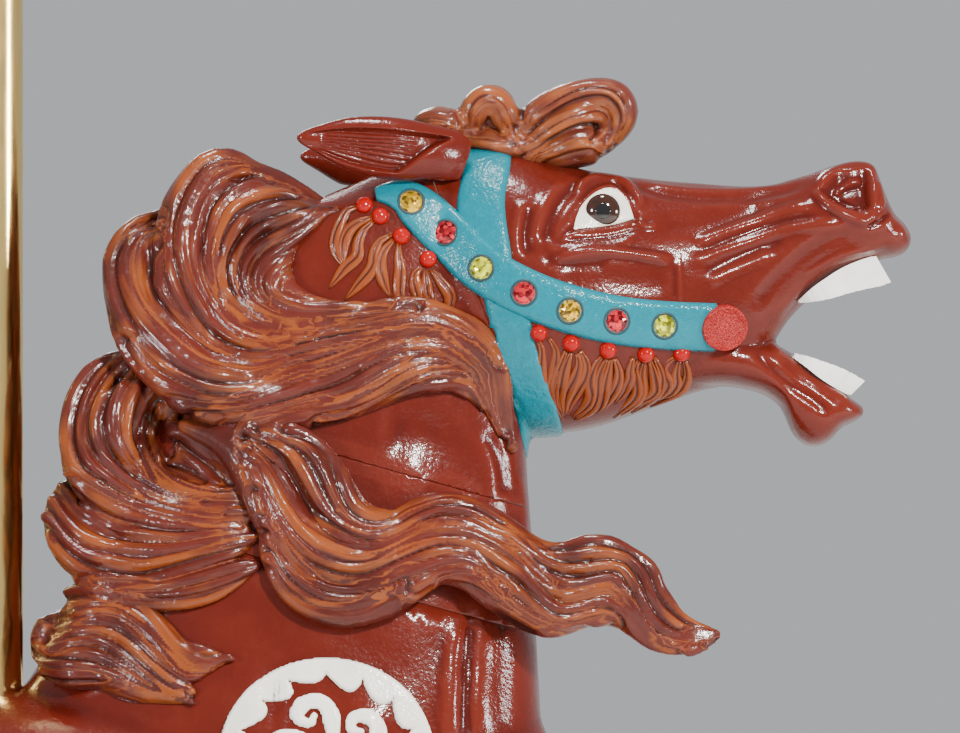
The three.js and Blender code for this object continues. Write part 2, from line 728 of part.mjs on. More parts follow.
const strapCutters = [];
for (const [side, name] of [[RIGHT, "right"], [LEFT, "left"]]) {
  const [from, to] = sideSpan(side);
  place("ear_" + name, largest(ear(side).subtract(headCover)), "coat");
  place("eye_" + name, eyeBall(side), "eyeGlass");
  const rosette = stone(...rosettePlace, side, rosetteRadius, strapThickness, 5);
  const rosetteCut = stone(...rosettePlace, side, rosetteRadius + seam, strapThickness, 6);
  place("rosette_" + name, rosette.subtract(headCover), "red");
  const stones = jewelPlaces.map(([x, z]) => stone(x, z, side, jewelRadius, strapThickness - 1, 4));
  const beds = jewelPlaces.map(([x, z]) => stone(x, z, side, jewelRadius + seam, strapThickness - 1, 5));
  const strap = strapPatch(jewelledStrapLine, strapWidth, from, to);
  const cover = prism(bandOutline(jewelledStrapLine, strapWidth + 2 * seam), from, to);
  strapCutters.push(jawAndHead(strapThickness + seam).intersect(cover));
  if (side === RIGHT) {
    place("jewelled_strap_right", largest(strap.subtract(join([...beds, rosetteCut]))), "teal");
    stones.forEach((jewel, i) =>
      place("jewel_" + (i + 1), largest(jewel.subtract(headCover)), jewelFinishes[i]),
    );
  } else {
    const studded = join([strap, ...stones.map((s) => s.subtract(headCover))]);
    place("jewelled_strap_left", largest(studded.subtract(rosetteCut)), "teal");
  }
}
const strapCover = join(strapCutters);
const ears = join([ear(RIGHT, seam), ear(LEFT, seam)]);
const crown = strapPatch(crownStrapLine, 35, -farOut, farOut).subtract(strapCover).subtract(ears);
place("crown_strap", largest(crown), "teal");
const throat = strapPatch(throatStrapLine, 32, -farOut, farOut).subtract(strapCover);
place("throat_strap", largest(throat), "teal");
const allStraps = jawAndHead(strapThickness + seam).intersect(join([
  prism(bandOutline(crownStrapLine, 35 + 2 * seam), -farOut, farOut),
  prism(bandOutline(throatStrapLine, 32 + 2 * seam), -farOut, farOut),
  prism(bandOutline(jewelledStrapLine, strapWidth + 2 * seam), -farOut, farOut),
]));

place("upper_teeth", largest(teeth(upperTeeth).subtract(headCover)), "white");
place("lower_teeth", largest(teeth(lowerTeeth).subtract(headCover)), "white");

const pole = (radius, from, to) => turned([[0, from], [radius, from], [radius, to], [0, to]], 0, 0, 0);
const poleRoom = pole(poleRadius + seam, 0, 2000);
const maneCover = join([headCover, allStraps, ears, poleRoom]);
const upper = locks(maneUpper, RIGHT);
place("mane_upper", largest(upper.subtract(maneCover)), "hair");
const flying = locks(flyingLock, RIGHT).subtract(locks(maneUpper, RIGHT, seam));
place("mane_flying_lock", largest(flying.subtract(maneCover)), "hair");
const middle = locks(maneMiddle, RIGHT).subtract(locks([...maneUpper, ...flyingLock], RIGHT, seam));
place("mane_middle", largest(middle.subtract(maneCover)), "hair");
const lower = locks(maneLower, RIGHT).subtract(locks([...maneMiddle, ...flyingLock], RIGHT, seam));
place("mane_lower", largest(lower.subtract(maneCover)), "hair");
const rightMane = locks([...maneUpper, ...maneMiddle, ...maneLower], RIGHT, seam);
const leftUpper = locks(maneLeftUpper, LEFT).subtract(rightMane);
place("mane_left_upper", largest(leftUpper.subtract(maneCover)), "hair");
const leftMiddle = locks(maneMiddle, LEFT).subtract(rightMane).subtract(locks(maneLeftUpper, LEFT, seam));
place("mane_left_middle", largest(leftMiddle.subtract(maneCover)), "hair");
const leftLower = locks(maneLower, LEFT).subtract(rightMane).subtract(locks(maneMiddle, LEFT, seam));
place("mane_left_lower", largest(leftLower.subtract(maneCover)), "hair");
place("forelock", largest(locks(forelock, RIGHT).subtract(maneCover)), "hair");
const wholeTail = locks(tail, RIGHT);
place("tail", largest(wholeTail.subtract(join([flesh, ...wholeLegs]))), "hair");

const legRoom = join(wholeLegs);
const medallions = [RIGHT, LEFT].map((side) => scrollMedallion(side));
place("medallion_right", largest(medallions[0].subtract(legRoom)), "white");
place("medallion_left", largest(medallions[1].subtract(legRoom)), "white");
const medallionRoom = prismOf(
  oval(medallion.x, medallion.z, medallion.halfWidth + 2 * seam, medallion.halfHeight + 2 * seam), -farOut, farOut,
);
place("saddle_cloth", largest(saddleCloth().subtract(join([poleRoom, legRoom]))), "teal");
const clothRoom = prism(clothOutline, -farOut, farOut).intersect(wholeHorse(clothThickness + seam));
const flaps = [RIGHT, LEFT].map((side) => saddleFlap(side));
place("saddle_flap_right", largest(flaps[0]), "red");
place("saddle_flap_left", largest(flaps[1]), "red");
const flapRoom = wholeHorse(clothThickness + flapThickness + seam)
  .intersect(join([prism(flapOutline, -farOut, -40 + seam), prism(flapOutline, 40 - seam, farOut)]));
place("saddle", largest(loft(saddle).subtract(wholeHorse(clothThickness + seam)).subtract(flapRoom)
  .subtract(poleRoom)), "red");
place("girth", largest(girthStrap().subtract(clothRoom)), "teal");
place("crupper", largest(crupperStrap().subtract(join([clothRoom, loft(saddle, seam), locks(tail, RIGHT, seam)]))),
  "teal");
const breast = jawAndHead(strapThickness).subtract(flesh)
  .intersect(prism(bandOutline(breastStrapLine, 40), -farOut, farOut))
  .subtract(join([clothRoom, medallionRoom, legRoom]));
place("breast_strap", largest(breast), "teal");

for (const [side, name] of [[RIGHT, "right"], [LEFT, "left"]]) {
  place("stirrup_" + name, stirrupLoop(side), "brass");
  const flapsAndCloth = wholeHorse(clothThickness + flapThickness + seam);
  place("stirrup_strap_" + name, largest(stirrupStrap(side).subtract(flapsAndCloth)), "leather");
}

place("pole", pole(poleRadius, footThickness + seam, poleTop), "brass");
place("pole_foot", turned([[0, 0], [82, 0], [82, 8], [60, footThickness], [0, footThickness]], 0, 0, 0), "brass");
place("pole_top_cap", turned([[0, seam], [34, seam], [34, 12], [30, 15], [0, 15]], 0, 0, poleTop), "brass");
const collar = (z, radius, height) =>
  turned([[poleRadius + seam, 0], [radius, 0], [radius, height * 0.5], [radius - 5, height],
    [poleRadius + seam, height], [poleRadius + seam, 0]], 0, 0, z);
place("pole_collar", largest(collar(606, 42, 28).subtract(flesh)), "brass");

export default carousel;
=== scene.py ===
# A carved wooden carousel horse, a jumper, on its brass pole. Lengths are in metres unless a note says mm.
# The horse faces +X, and its right side, the outer one on the ride, faces -Y.
import math

import bmesh
import bpy
import numpy as np
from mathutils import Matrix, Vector
from mathutils.bvhtree import BVHTree


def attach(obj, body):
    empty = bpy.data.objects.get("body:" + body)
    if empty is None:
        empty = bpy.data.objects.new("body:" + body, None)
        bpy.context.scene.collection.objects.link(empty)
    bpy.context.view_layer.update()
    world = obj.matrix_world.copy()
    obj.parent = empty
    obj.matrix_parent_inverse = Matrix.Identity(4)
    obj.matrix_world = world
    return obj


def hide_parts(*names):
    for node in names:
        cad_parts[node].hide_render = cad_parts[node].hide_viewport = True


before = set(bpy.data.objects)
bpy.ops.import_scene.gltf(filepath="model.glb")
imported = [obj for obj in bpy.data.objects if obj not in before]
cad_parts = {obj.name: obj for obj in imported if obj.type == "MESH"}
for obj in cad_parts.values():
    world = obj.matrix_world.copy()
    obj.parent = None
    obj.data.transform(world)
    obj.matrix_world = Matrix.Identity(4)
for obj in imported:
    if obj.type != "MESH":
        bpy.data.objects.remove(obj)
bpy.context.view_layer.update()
mm = 0.001
right, left = -1, 1
bothSides = ((right, "Right"), (left, "Left"))
sideways = np.array([[0, 1, 0]])
print("frame loaded")


# Camera, at the photograph's viewing angle
camera = {"distance": 7.0, "centreX": 0.391, "centreZ": 1.2168, "frameWidth": 0.768, "sensor": 36}
photo = {"width": 960, "height": 733}


def fromPhoto(points, out):
    # Photo pixels as x and z, for something that stands out from the mid-plane by out mm
    scale = camera["frameWidth"] / photo["width"] * (1 - out * mm / camera["distance"])
    points = np.asarray(points, float)
    x = camera["centreX"] + (points[:, 0] - photo["width"] / 2) * scale
    z = camera["centreZ"] - (points[:, 1] - photo["height"] / 2) * scale
    return np.stack([x, z], 1)


def addCamera():
    data = bpy.data.cameras.new("photoCamera")
    data.sensor_fit = "HORIZONTAL"
    data.sensor_width = camera["sensor"]
    data.lens = camera["distance"] * camera["sensor"] / camera["frameWidth"]
    data.clip_end = 50
    eye = bpy.data.objects.new("photoCamera", data)
    eye.location = (camera["centreX"], -camera["distance"], camera["centreZ"])
    eye.rotation_euler = (math.pi / 2, 0, 0)
    bpy.context.scene.collection.objects.link(eye)
    bpy.context.scene.camera = eye


# Studio: floor, lights and a pale surround
studio = {
    "floorRadius": 12, "floorSides": 96, "floorColor": (0.8, 0.79, 0.77, 1), "floorRoughness": 0.8,
    "worldColor": (0.94, 0.96, 1.0, 1), "worldStrength": 0.5,
    "lights": {
        # place, aimed at, size, watts, color
        "keyLight": ((2.2, -4.4, 3.6), (0.35, 0, 1.1), 0.5, 400, (1.0, 0.97, 0.92)),
        "fillLight": ((-3.4, -3.6, 1.7), (0.1, 0, 1.0), 0.9, 150, (0.95, 0.97, 1.0)),
        "topLight": ((0.4, -0.6, 4.4), (0.2, 0, 1.0), 0.6, 90, (1.0, 1.0, 1.0)),
        "backLight": ((-0.5, 4.4, 3.0), (0, 0, 1.0), 1.2, 45, (1.0, 0.98, 0.95)),
        "stripLight": ((4.4, -1.6, 1.3), (0.4, 0, 1.2), 0.8, 120, (1.0, 1.0, 1.0)),
    },
}


def addStudio():
    world = bpy.data.worlds.new("paleStudio")
    world.use_nodes = True
    surround = world.node_tree.nodes["Background"]
    surround.inputs["Color"].default_value = studio["worldColor"]
    surround.inputs["Strength"].default_value = studio["worldStrength"]
    bpy.context.scene.world = world
    sides = studio["floorSides"]
    rim = np.stack([*circle(sides), np.zeros(sides)], 1) * studio["floorRadius"]
    floor = newObject("studioFloor", rim, [np.arange(sides)[None, :]])
    material, _, shader = newMaterial("studioFloor")
    shader.inputs["Base Color"].default_value = studio["floorColor"]
    shader.inputs["Roughness"].default_value = studio["floorRoughness"]
    floor.data.materials.append(material)
    for name, (place, target, size, watts, color) in studio["lights"].items():
        data = bpy.data.lights.new(name, "AREA")
        data.shape = "DISK"
        data.size = size
        data.energy = watts
        data.color = color
        lamp = bpy.data.objects.new(name, data)
        lamp.location = place
        aim = Vector(target) - Vector(place)
        lamp.rotation_euler = aim.to_track_quat("-Z", "Y").to_euler()
        bpy.context.scene.collection.objects.link(lamp)


# Mesh tools. A shape is its vertices and a list of face arrays, each array with one number of corners.
def newObject(name, vertices, faces, smooth=True):
    mesh = bpy.data.meshes.new(name)
    mesh.vertices.add(len(vertices))
    mesh.vertices.foreach_set("co", np.asarray(vertices, np.float32).ravel())
    loops = np.concatenate([f.ravel() for f in faces]).astype(np.int32)
    totals = np.concatenate([np.full(len(f), f.shape[1]) for f in faces])
    starts = np.concatenate([[0], np.cumsum(totals)[:-1]]).astype(np.int32)
    mesh.loops.add(len(loops))
    mesh.loops.foreach_set("vertex_index", loops)
    mesh.polygons.add(len(totals))
    mesh.polygons.foreach_set("loop_start", starts)
    mesh.polygons.foreach_set("use_smooth", np.full(len(totals), smooth))
    mesh.update(calc_edges=True)
    mesh.validate()
    piece = bpy.data.objects.new(name, mesh)
    bpy.context.scene.collection.objects.link(piece)
    return piece


def unit(vectors):
    return vectors / np.linalg.norm(vectors, axis=-1, keepdims=True)


def circle(sides):
    # Cosine and sine at even steps
    angle = np.linspace(0, 2 * math.pi, sides, endpoint=False)
    return np.cos(angle), np.sin(angle)


def squared(values, power):
    # Draws a circle's cosine or sine out towards a box, the more so the higher the power
    return np.sign(values) * np.abs(values) ** (2 / power)


def lengthAlong(points):
    return np.concatenate([[0], np.cumsum(np.linalg.norm(np.diff(points, axis=0), axis=1))])


def between(places, known, values):
    # Rows of values at places between the known ones
    return np.stack([np.interp(places, known, column) for column in values.T], 1)


def smoothCurve(points, steps):
    # A curve through the points, cut into even steps
    points = np.asarray(points, float)
    padded = np.vstack([2 * points[0] - points[1], points, 2 * points[-1] - points[-2]])
    t = np.linspace(0, 1, 14, endpoint=False)[:, None]
    runs = [0.5 * (2 * b + (c - a) * t + (2 * a - 5 * b + 4 * c - d) * t**2 + (3 * b - a - 3 * c + d) * t**3)
            for a, b, c, d in zip(padded, padded[1:], padded[2:], padded[3:])]
    fine = np.vstack([*runs, points[-1:]])
    length = lengthAlong(fine)
    return between(np.linspace(0, length[-1], steps + 1), length, fine)


def along(values, steps):
    # A few values spread smoothly over steps + 1 places
    keyed = np.stack([np.linspace(0, len(values) - 1, len(values)), values], 1)
    fine = smoothCurve(keyed, 8 * len(values))
    return np.interp(np.linspace(0, len(values) - 1, steps + 1), fine[:, 0], fine[:, 1])


def faceVectors(vertices, faces):
    # Area-weighted normals
    corners = [vertices[faces[:, k]] for k in range(faces.shape[1])]
    if len(corners) == 4:
        return np.cross(corners[2] - corners[0], corners[3] - corners[1])
    return np.cross(corners[1] - corners[0], corners[2] - corners[0])


def normalsOf(vertices, faces):
    total = np.zeros_like(vertices)
    for array in faces:
        vectors = faceVectors(vertices, array)
        for k in range(array.shape[1]):
            for axis in range(3):
                total[:, axis] += np.bincount(array[:, k], vectors[:, axis], len(vertices))
    return total / np.maximum(np.linalg.norm(total, axis=1, keepdims=True), 1e-12)


def facingOut(vertices, faces):
    centre = vertices.mean(0)
    volume = sum(np.sum(faceVectors(vertices, f) * (vertices[f[:, 0]] - centre)) for f in faces)
    return (vertices, faces) if volume > 0 else (vertices, [f[:, ::-1] for f in faces])


def closedTube(rings):
    # Rings of points, rows by sides, closed with a fan at each end
    rows, sides = rings.shape[:2]
    vertices = np.vstack([rings.reshape(-1, 3), rings[0].mean(0), rings[-1].mean(0)])
    row = np.arange(rows - 1)[:, None] * sides
    j = np.arange(sides)[None, :]
    k = (j + 1) % sides
    quads = np.stack([row + j, row + k, row + sides + k, row + sides + j], -1).reshape(-1, 4)
    j, k = j[0], k[0]
    first = np.stack([k, j, np.full(sides, rows * sides)], 1)
    last = np.stack([j + (rows - 1) * sides, k + (rows - 1) * sides, np.full(sides, rows * sides + 1)], 1)
    return facingOut(vertices, [quads, np.vstack([first, last])])


def swept(points, across, outward, wide, high):
    # A tube along the points, each section drawn by its steps across and outward
    section = across[:, None] * wide[..., None]
    return closedTube(points[:, None] + section + outward[:, None] * high[..., None])


def gridQuads(rows, columns):
    index = np.arange(rows * columns).reshape(rows, columns)
    return np.stack([index[:-1, :-1], index[1:, :-1], index[1:, 1:], index[:-1, 1:]], -1)


def merged(shapes):
    vertices, byCount, start = [], {}, 0
    for points, faces in shapes:
        vertices.append(points)
        for array in faces:
            byCount.setdefault(array.shape[1], []).append(array + start)
        start += len(points)
    return np.vstack(vertices), [np.vstack(arrays) for arrays in byCount.values()]


def meshArrays(mesh):
    vertices = np.empty(len(mesh.vertices) * 3, np.float32)
    mesh.vertices.foreach_get("co", vertices)
    loops = np.empty(len(mesh.loops), np.int32)
    mesh.loops.foreach_get("vertex_index", loops)
    starts = np.empty(len(mesh.polygons), np.int32)
    totals = np.empty(len(mesh.polygons), np.int32)
    mesh.polygons.foreach_get("loop_start", starts)
    mesh.polygons.foreach_get("loop_total", totals)
    faces = []
    for count in np.unique(totals):
        picked = starts[totals == count]
        faces.append(loops[picked[:, None] + np.arange(count)[None, :]])
    return vertices.reshape(-1, 3).astype(float), faces


def takeArrays(block):
    # The block's shape, and the block itself is gone
    mesh = block.data
    arrays = meshArrays(mesh)
    bpy.data.objects.remove(block)
    bpy.data.meshes.remove(mesh)
    return arrays


def applyModifier(piece, kind, **settings):
    change = piece.modifiers.new("change", kind)
    for key, value in settings.items():
        setattr(change, key, value)
    mesh = bpy.data.meshes.new_from_object(piece.evaluated_get(bpy.context.evaluated_depsgraph_get()))
    piece.modifiers.clear()
    before, piece.data = piece.data, mesh
    bpy.data.meshes.remove(before)


def remeshed(shape, voxel):
    # One skin round everything in the shape
    block = newObject("carvingBlock", *shape)
    applyModifier(block, "REMESH", mode="VOXEL", voxel_size=voxel * mm, adaptivity=0)
    return takeArrays(block)


def edgesOf(count, faces):
    keys = []
    for array in faces:
        for k in range(array.shape[1]):
            a, b = array[:, k].astype(np.int64), array[:, (k + 1) % array.shape[1]].astype(np.int64)
            keys.append(np.minimum(a, b) * count + np.maximum(a, b))
    keys = np.unique(np.concatenate(keys))
    return keys // count, keys % count


def neighbourMean(values, edges, count):
    a, b = edges
    degree = np.maximum(np.bincount(a, minlength=count) + np.bincount(b, minlength=count), 1)
    total = [np.bincount(a, v[b], count) + np.bincount(b, v[a], count) for v in values.T]
    return np.stack(total, 1) / degree[:, None]


def relaxed(shape, rounds, share=0.5):
    vertices, faces = shape
    edges = edgesOf(len(vertices), faces)
    for _ in range(rounds):
        vertices = vertices + share * (neighbourMean(vertices, edges, len(vertices)) - vertices)
    return vertices, faces


def reliefOf(shape, reach):
    # How far each point stands above the smoothed shape, in mm, for the painted shade in grooves and the
    # painted highlight on ridges: below 0 in grooves
    vertices, faces = shape
    blurred, _ = relaxed(shape, reach, 0.6)
    return np.einsum("ij,ij->i", vertices - blurred, normalsOf(vertices, faces)) / mm


def keepSide(shape, point, normal):
    # What lies on the normal's side of a plane, closed where it was cut
    block = newObject("sawnBlock", *shape)
    work = bmesh.new()
    work.from_mesh(block.data)
    everything = work.verts[:] + work.edges[:] + work.faces[:]
    cut = bmesh.ops.bisect_plane(work, geom=everything, plane_co=point, plane_no=normal, clear_inner=True)
    rim = [item for item in cut["geom_cut"] if isinstance(item, bmesh.types.BMEdge)]
    if rim:
        bmesh.ops.triangle_fill(work, edges=rim, use_beauty=True, use_dissolve=False)
    bmesh.ops.recalc_face_normals(work, faces=work.faces)
    work.to_mesh(block.data)
    work.free()
    return takeArrays(block)


# Share of its faces a piece keeps where it comes out finer than its detail needs
keptShare = {
    "headBlock": 0.6, "bodyBlock": 0.8, "maneUpper": 0.8, "flyingLock": 0.65, "tailLocks": 0.6,
    "earRight": 0.5, "earLeft": 0.5, "medallionRight": 0.7, "medallionLeft": 0.7, "saddleFlapRight": 0.6,
    "saddleFlapLeft": 0.6,
}


def addPiece(name, shape, finish, *nodes, smooth=True, **values):
    # A piece of the horse in its finish, with values for its paint, in place of the nodes of the solids
    piece = newObject(name, *shape, smooth=smooth)
    for key, numbers in values.items():
        kind, field = ("FLOAT", "value") if numbers.ndim == 1 else ("FLOAT_VECTOR", "vector")
        numbers = numbers.astype(np.float32).ravel()
        piece.data.attributes.new(key, kind, "POINT").data.foreach_set(field, numbers)
    if name in keptShare:
        applyModifier(piece, "DECIMATE", ratio=keptShare[name])
    slotName, material = finishes[finish]
    piece.data.materials.append(material)
    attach(piece, "root")
    if nodes:
        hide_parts(*nodes)
    return piece


# Forms of the trunk, in mm: place along the axis, high (or front), low (or back), half width
headForm = {
    "axis": "x", "power": 2.25, "topPinch": 0.16, "underPinch": 0.1, "steps": 170, "sides": 96,
    "rows": [[338, 1376, 1225, 36], [360, 1386, 1195, 58], [390, 1392, 1176, 71], [420, 1389, 1164, 77],
             [450, 1380, 1163, 79], [487, 1372, 1169, 77], [527, 1367, 1183, 70], [567, 1363, 1197, 62],
             [600, 1361, 1206, 55], [622, 1362, 1230, 51], [638, 1366, 1254, 50], [655, 1371, 1271, 50],
             [675, 1378, 1284, 50], [693, 1381, 1294, 48], [706, 1377, 1300, 45], [714, 1358, 1303, 40],
             [722, 1340, 1304, 35], [731, 1331, 1308, 26], [736, 1322, 1316, 10]],
}
neckForm = {
    "axis": "z", "power": 3.0, "topPinch": 0.02, "underPinch": 0.3, "steps": 110, "sides": 96,
    "rows": [[890, -10, 440, 122], [940, 12, 439, 116], [985, 42, 437, 106], [1040, 66, 434, 96],
             [1100, 80, 431, 88], [1150, 98, 428, 82], [1200, 122, 424, 77], [1250, 142, 418, 72],
             [1300, 168, 410, 66], [1335, 205, 400, 58], [1354, 268, 392, 50], [1370, 306, 384, 34]],
}
bodyForm = {
    "axis": "x", "power": 2.35, "topPinch": 0.0, "underPinch": 0.0, "steps": 120, "sides": 96,
    "rows": [[-582, 850, 800, 30], [-565, 888, 762, 80], [-530, 928, 726, 118], [-470, 957, 704, 146],
             [-400, 964, 692, 156], [-300, 952, 676, 156], [-200, 938, 656, 155], [-100, 940, 640, 155],
             [0, 955, 630, 152], [120, 968, 628, 148], [220, 972, 638, 142], [300, 970, 658, 134],
             [360, 965, 686, 124], [410, 953, 722, 108], [440, 932, 765, 84], [452, 900, 800, 50]],
}
jawForm = {
    "axis": "x", "power": 2.5, "topPinch": 0.05, "underPinch": 0.12, "steps": 90, "sides": 72,
    "rows": [[540, 1250, 1195, 44], [580, 1246, 1201, 48], [610, 1240, 1197, 46], [625, 1236, 1190, 44],
             [633, 1232, 1181, 43], [641, 1227, 1163, 42], [651, 1220, 1154, 42], [661, 1212, 1153, 42],
             [671, 1204, 1158, 41], [679, 1198, 1167, 39], [687, 1192, 1171, 35], [694, 1187, 1175, 26],
             [698, 1184, 1179, 12]],
}


def trunkShape(form, first=-1000):
    # The form from its first place in mm to its end
    rows = smoothCurve([row for row in form["rows"] if row[0] >= first], form["steps"]) * mm
    high, wide = (squared(values, form["power"]) for values in circle(form["sides"]))
    pinch = 1 - form["topPinch"] * np.clip(high, 0, 1) ** 2 - form["underPinch"] * np.clip(-high, 0, 1) ** 2
    middle, half = (rows[:, 1] + rows[:, 2]) / 2, np.abs(rows[:, 1] - rows[:, 2]) / 2
    across = middle[:, None] + half[:, None] * high
    out = rows[:, 3:4] * (wide * pinch)
    place = np.repeat(rows[:, :1], form["sides"], 1)
    order = [place, out, across] if form["axis"] == "x" else [across, out, place]
    return closedTube(np.stack(order, -1))


# Legs, in mm: x, z, half depth fore and aft, half width; the hoof starts at the last row
legForms = {
    "foreleg_right": {"out": right * 78, "toe": [364, 262], "rows": [
        [315, 800, 82, 58], [345, 715, 72, 54], [395, 650, 54, 43], [448, 592, 39, 34], [478, 562, 37, 35],
        [470, 520, 29, 28], [442, 455, 22, 21], [418, 402, 24, 22], [406, 372, 29, 26], [392, 338, 25, 23],
        [382, 312, 33, 31]]},
    "foreleg_left": {"out": left * 78, "toe": [588, 321], "rows": [
        [325, 805, 82, 58], [382, 728, 70, 52], [448, 690, 51, 41], [516, 655, 38, 34], [550, 634, 37, 35],
        [558, 590, 29, 28], [554, 520, 22, 21], [551, 462, 24, 22], [553, 432, 29, 26], [562, 396, 25, 23],
        [570, 370, 33, 31]]},
    "hindleg_right": {"out": right * 82, "toe": [-598, 245], "rows": [
        [-440, 830, 100, 66], [-415, 730, 100, 66], [-420, 660, 74, 55], [-468, 600, 52, 43],
        [-525, 552, 38, 33], [-565, 518, 37, 31], [-572, 468, 28, 25], [-566, 400, 23, 22],
        [-562, 352, 29, 26], [-572, 318, 25, 23], [-580, 294, 33, 31]]},
    "hindleg_left": {"out": left * 82, "toe": [-408, 219], "rows": [
        [-430, 830, 100, 66], [-380, 720, 96, 64], [-365, 650, 70, 53], [-396, 580, 50, 42],
        [-444, 522, 38, 33], [-480, 486, 37, 31], [-476, 438, 28, 25], [-456, 372, 23, 22],
        [-444, 326, 29, 26], [-434, 292, 25, 23], [-426, 268, 33, 31]]},
}


def onLeg(leg, x, z):
    return np.array([x, leg["out"], z]) * mm


def legShape(leg, sides=40, steps=90):
    rows = smoothCurve(leg["rows"], steps) * mm
    spine = np.stack([rows[:, 0], np.full(len(rows), leg["out"] * mm), rows[:, 1]], 1)
    run = np.gradient(spine, axis=0)
    run[-1] = onLeg(leg, *leg["toe"]) - spine[-1]
    run = unit(run)
    across = np.stack([-run[:, 2], np.zeros(len(run)), run[:, 0]], 1)
    fore, wide = circle(sides)
    return swept(spine, across, sideways, rows[:, 2:3] * fore, rows[:, 3:4] * wide)


# Hoof: place in mm and spread of the coronet band and the wall, from the leg's end. Then those of the shoe's
# edge and the hollow sole, from the toe.
hoofWall = [[0.2, 0.98], [1.5, 1.07], [6, 1.1], [9, 1.06], [11, 1.08], [24, 1.17], [40, 1.27]]
hoofShoe = [[-9, 1.31], [-8, 1.35], [-1, 1.36], [0, 1.33], [0, 1.02], [-4, 0.96], [-4, 0.2]]


def hoofShape(leg, sides=48):
    x, z, fore, wide = leg["rows"][-1]
    start, end = onLeg(leg, x, z), onLeg(leg, *leg["toe"])
    reach = np.linalg.norm(end - start)
    run = (end - start) / reach
    across = np.array([-run[2], 0, run[0]])
    c, s = circle(sides)
    rings = [start + run * place * mm + across * (fore * mm * size * c)[:, None]
             + sideways * (wide * mm * size * s)[:, None]
             for place, size in hoofWall + [[reach / mm + place, size] for place, size in hoofShoe]]
    return closedTube(np.array(rings))


# Carving: lines drawn on the side of the horse that stand proud or are cut in.
# Each is its line in photo pixels, half width in mm and height in mm (below 0 is a groove).
faceLines = {
    "facialCrest": ([(547, 263), (582, 254), (619, 253), (650, 257), (677, 262)], 5.5, 3.4),
    "cheekHollow": ([(556, 280), (600, 279), (640, 281), (674, 283)], 16, -1.8),
    "blockStep": ([(679, 258), (680, 303)], 3.5, 0.9),
    "blockEdge": ([(674, 266), (675, 300)], 3.5, -0.8),
    "underEye": ([(543, 240), (556, 250), (585, 249), (612, 247), (640, 240)], 6, 1.6),
    "underEyeGroove": ([(540, 258), (570, 265), (610, 264)], 6, -1.2),
    "lowerLidGroove": ([(562, 242), (585, 239), (612, 236), (640, 229)], 3, -1.6),
    "templeGroove": ([(580, 180), (562, 200), (550, 222), (545, 244)], 8, -2.2),
    "templeRidge": ([(566, 176), (548, 198), (538, 222), (534, 246)], 8, 1.6),
    "jawEdge": ([(522, 200), (516, 235), (518, 262)], 7, 1.6),
    "jawEdgeGroove": ([(530, 205), (526, 235), (530, 258)], 8, -1.8),
    "brow": ([(572, 194), (586, 180), (604, 173), (622, 178), (636, 192), (644, 210)], 4.2, 3.0),
    "browGroove": ([(578, 203), (590, 189), (605, 181), (620, 184), (631, 196)], 2.6, -1.6),
    "upperLid": ([(565, 233), (577, 212), (590, 195), (605, 186), (619, 189), (629, 202), (636, 219)],
                 2.6, 2.0),
    "lowerLid": ([(565, 235), (584, 231), (604, 228), (622, 225), (637, 219)], 2.4, 1.6),
    "eyeCorner": ([(636, 222), (648, 227), (657, 224)], 3.5, 1.8),
    "noseGroove": ([(628, 179), (650, 190), (693, 197), (742, 197), (785, 190), (815, 179)], 6, -2.2),
    "noseEdge": ([(640, 182), (690, 189), (742, 189), (790, 180)], 4, 1.2),
    "noseHollow": ([(655, 222), (690, 224), (730, 214), (770, 204)], 12, -2.0),
    "cheekMuscleA": ([(690, 250), (712, 238), (752, 223), (785, 211), (819, 202)], 8, 2.8),
    "muscleGrooveA": ([(690, 256), (737, 238), (781, 223), (824, 214)], 7, -1.6),
    "cheekMuscleB": ([(684, 266), (716, 251), (748, 240), (797, 226), (850, 224)], 8, 2.3),
    "muscleGrooveB": ([(700, 276), (745, 256), (790, 238)], 8, -1.5),
    "cheekMuscleC": ([(704, 284), (735, 268), (775, 251)], 9, 1.4),
    "upperLip": ([(772, 322), (783, 306), (797, 289), (829, 264), (862, 249), (898, 238)], 8, 2.6),
    "upperLipGroove": ([(752, 312), (768, 291), (788, 270), (820, 245), (866, 228)], 10, -2.2),
    "lowerLip": ([(768, 334), (778, 350), (797, 365), (815, 379), (840, 394), (858, 405)], 7, 2.4),
    "lowerLipGroove": ([(752, 345), (768, 364), (790, 384), (815, 400), (834, 416)], 7, -2.4),
    "nostrilLower": ([(812, 188), (830, 205), (852, 217), (868, 221), (880, 208)], 4.2, 3.4),
    "nostrilUpper": ([(816, 187), (832, 172), (850, 163), (870, 162), (882, 176)], 4, 2.6),
    "nostrilWing": ([(880, 178), (884, 196), (880, 212)], 3.5, 2.4),
    "nostrilFold": ([(831, 190), (842, 179), (858, 174), (868, 176)], 3.5, 2.6),
    "nostrilCrease": ([(828, 193), (842, 195), (856, 205), (866, 208)], 4, -2.2),
    "lipNotch": ([(868, 228), (880, 222), (893, 213)], 3.4, -3.2),
    "lipFront": ([(888, 216), (900, 224), (906, 238)], 5, 1.6),
    "lipUnder": ([(800, 276), (840, 254), (880, 245)], 3, 1.0),
}
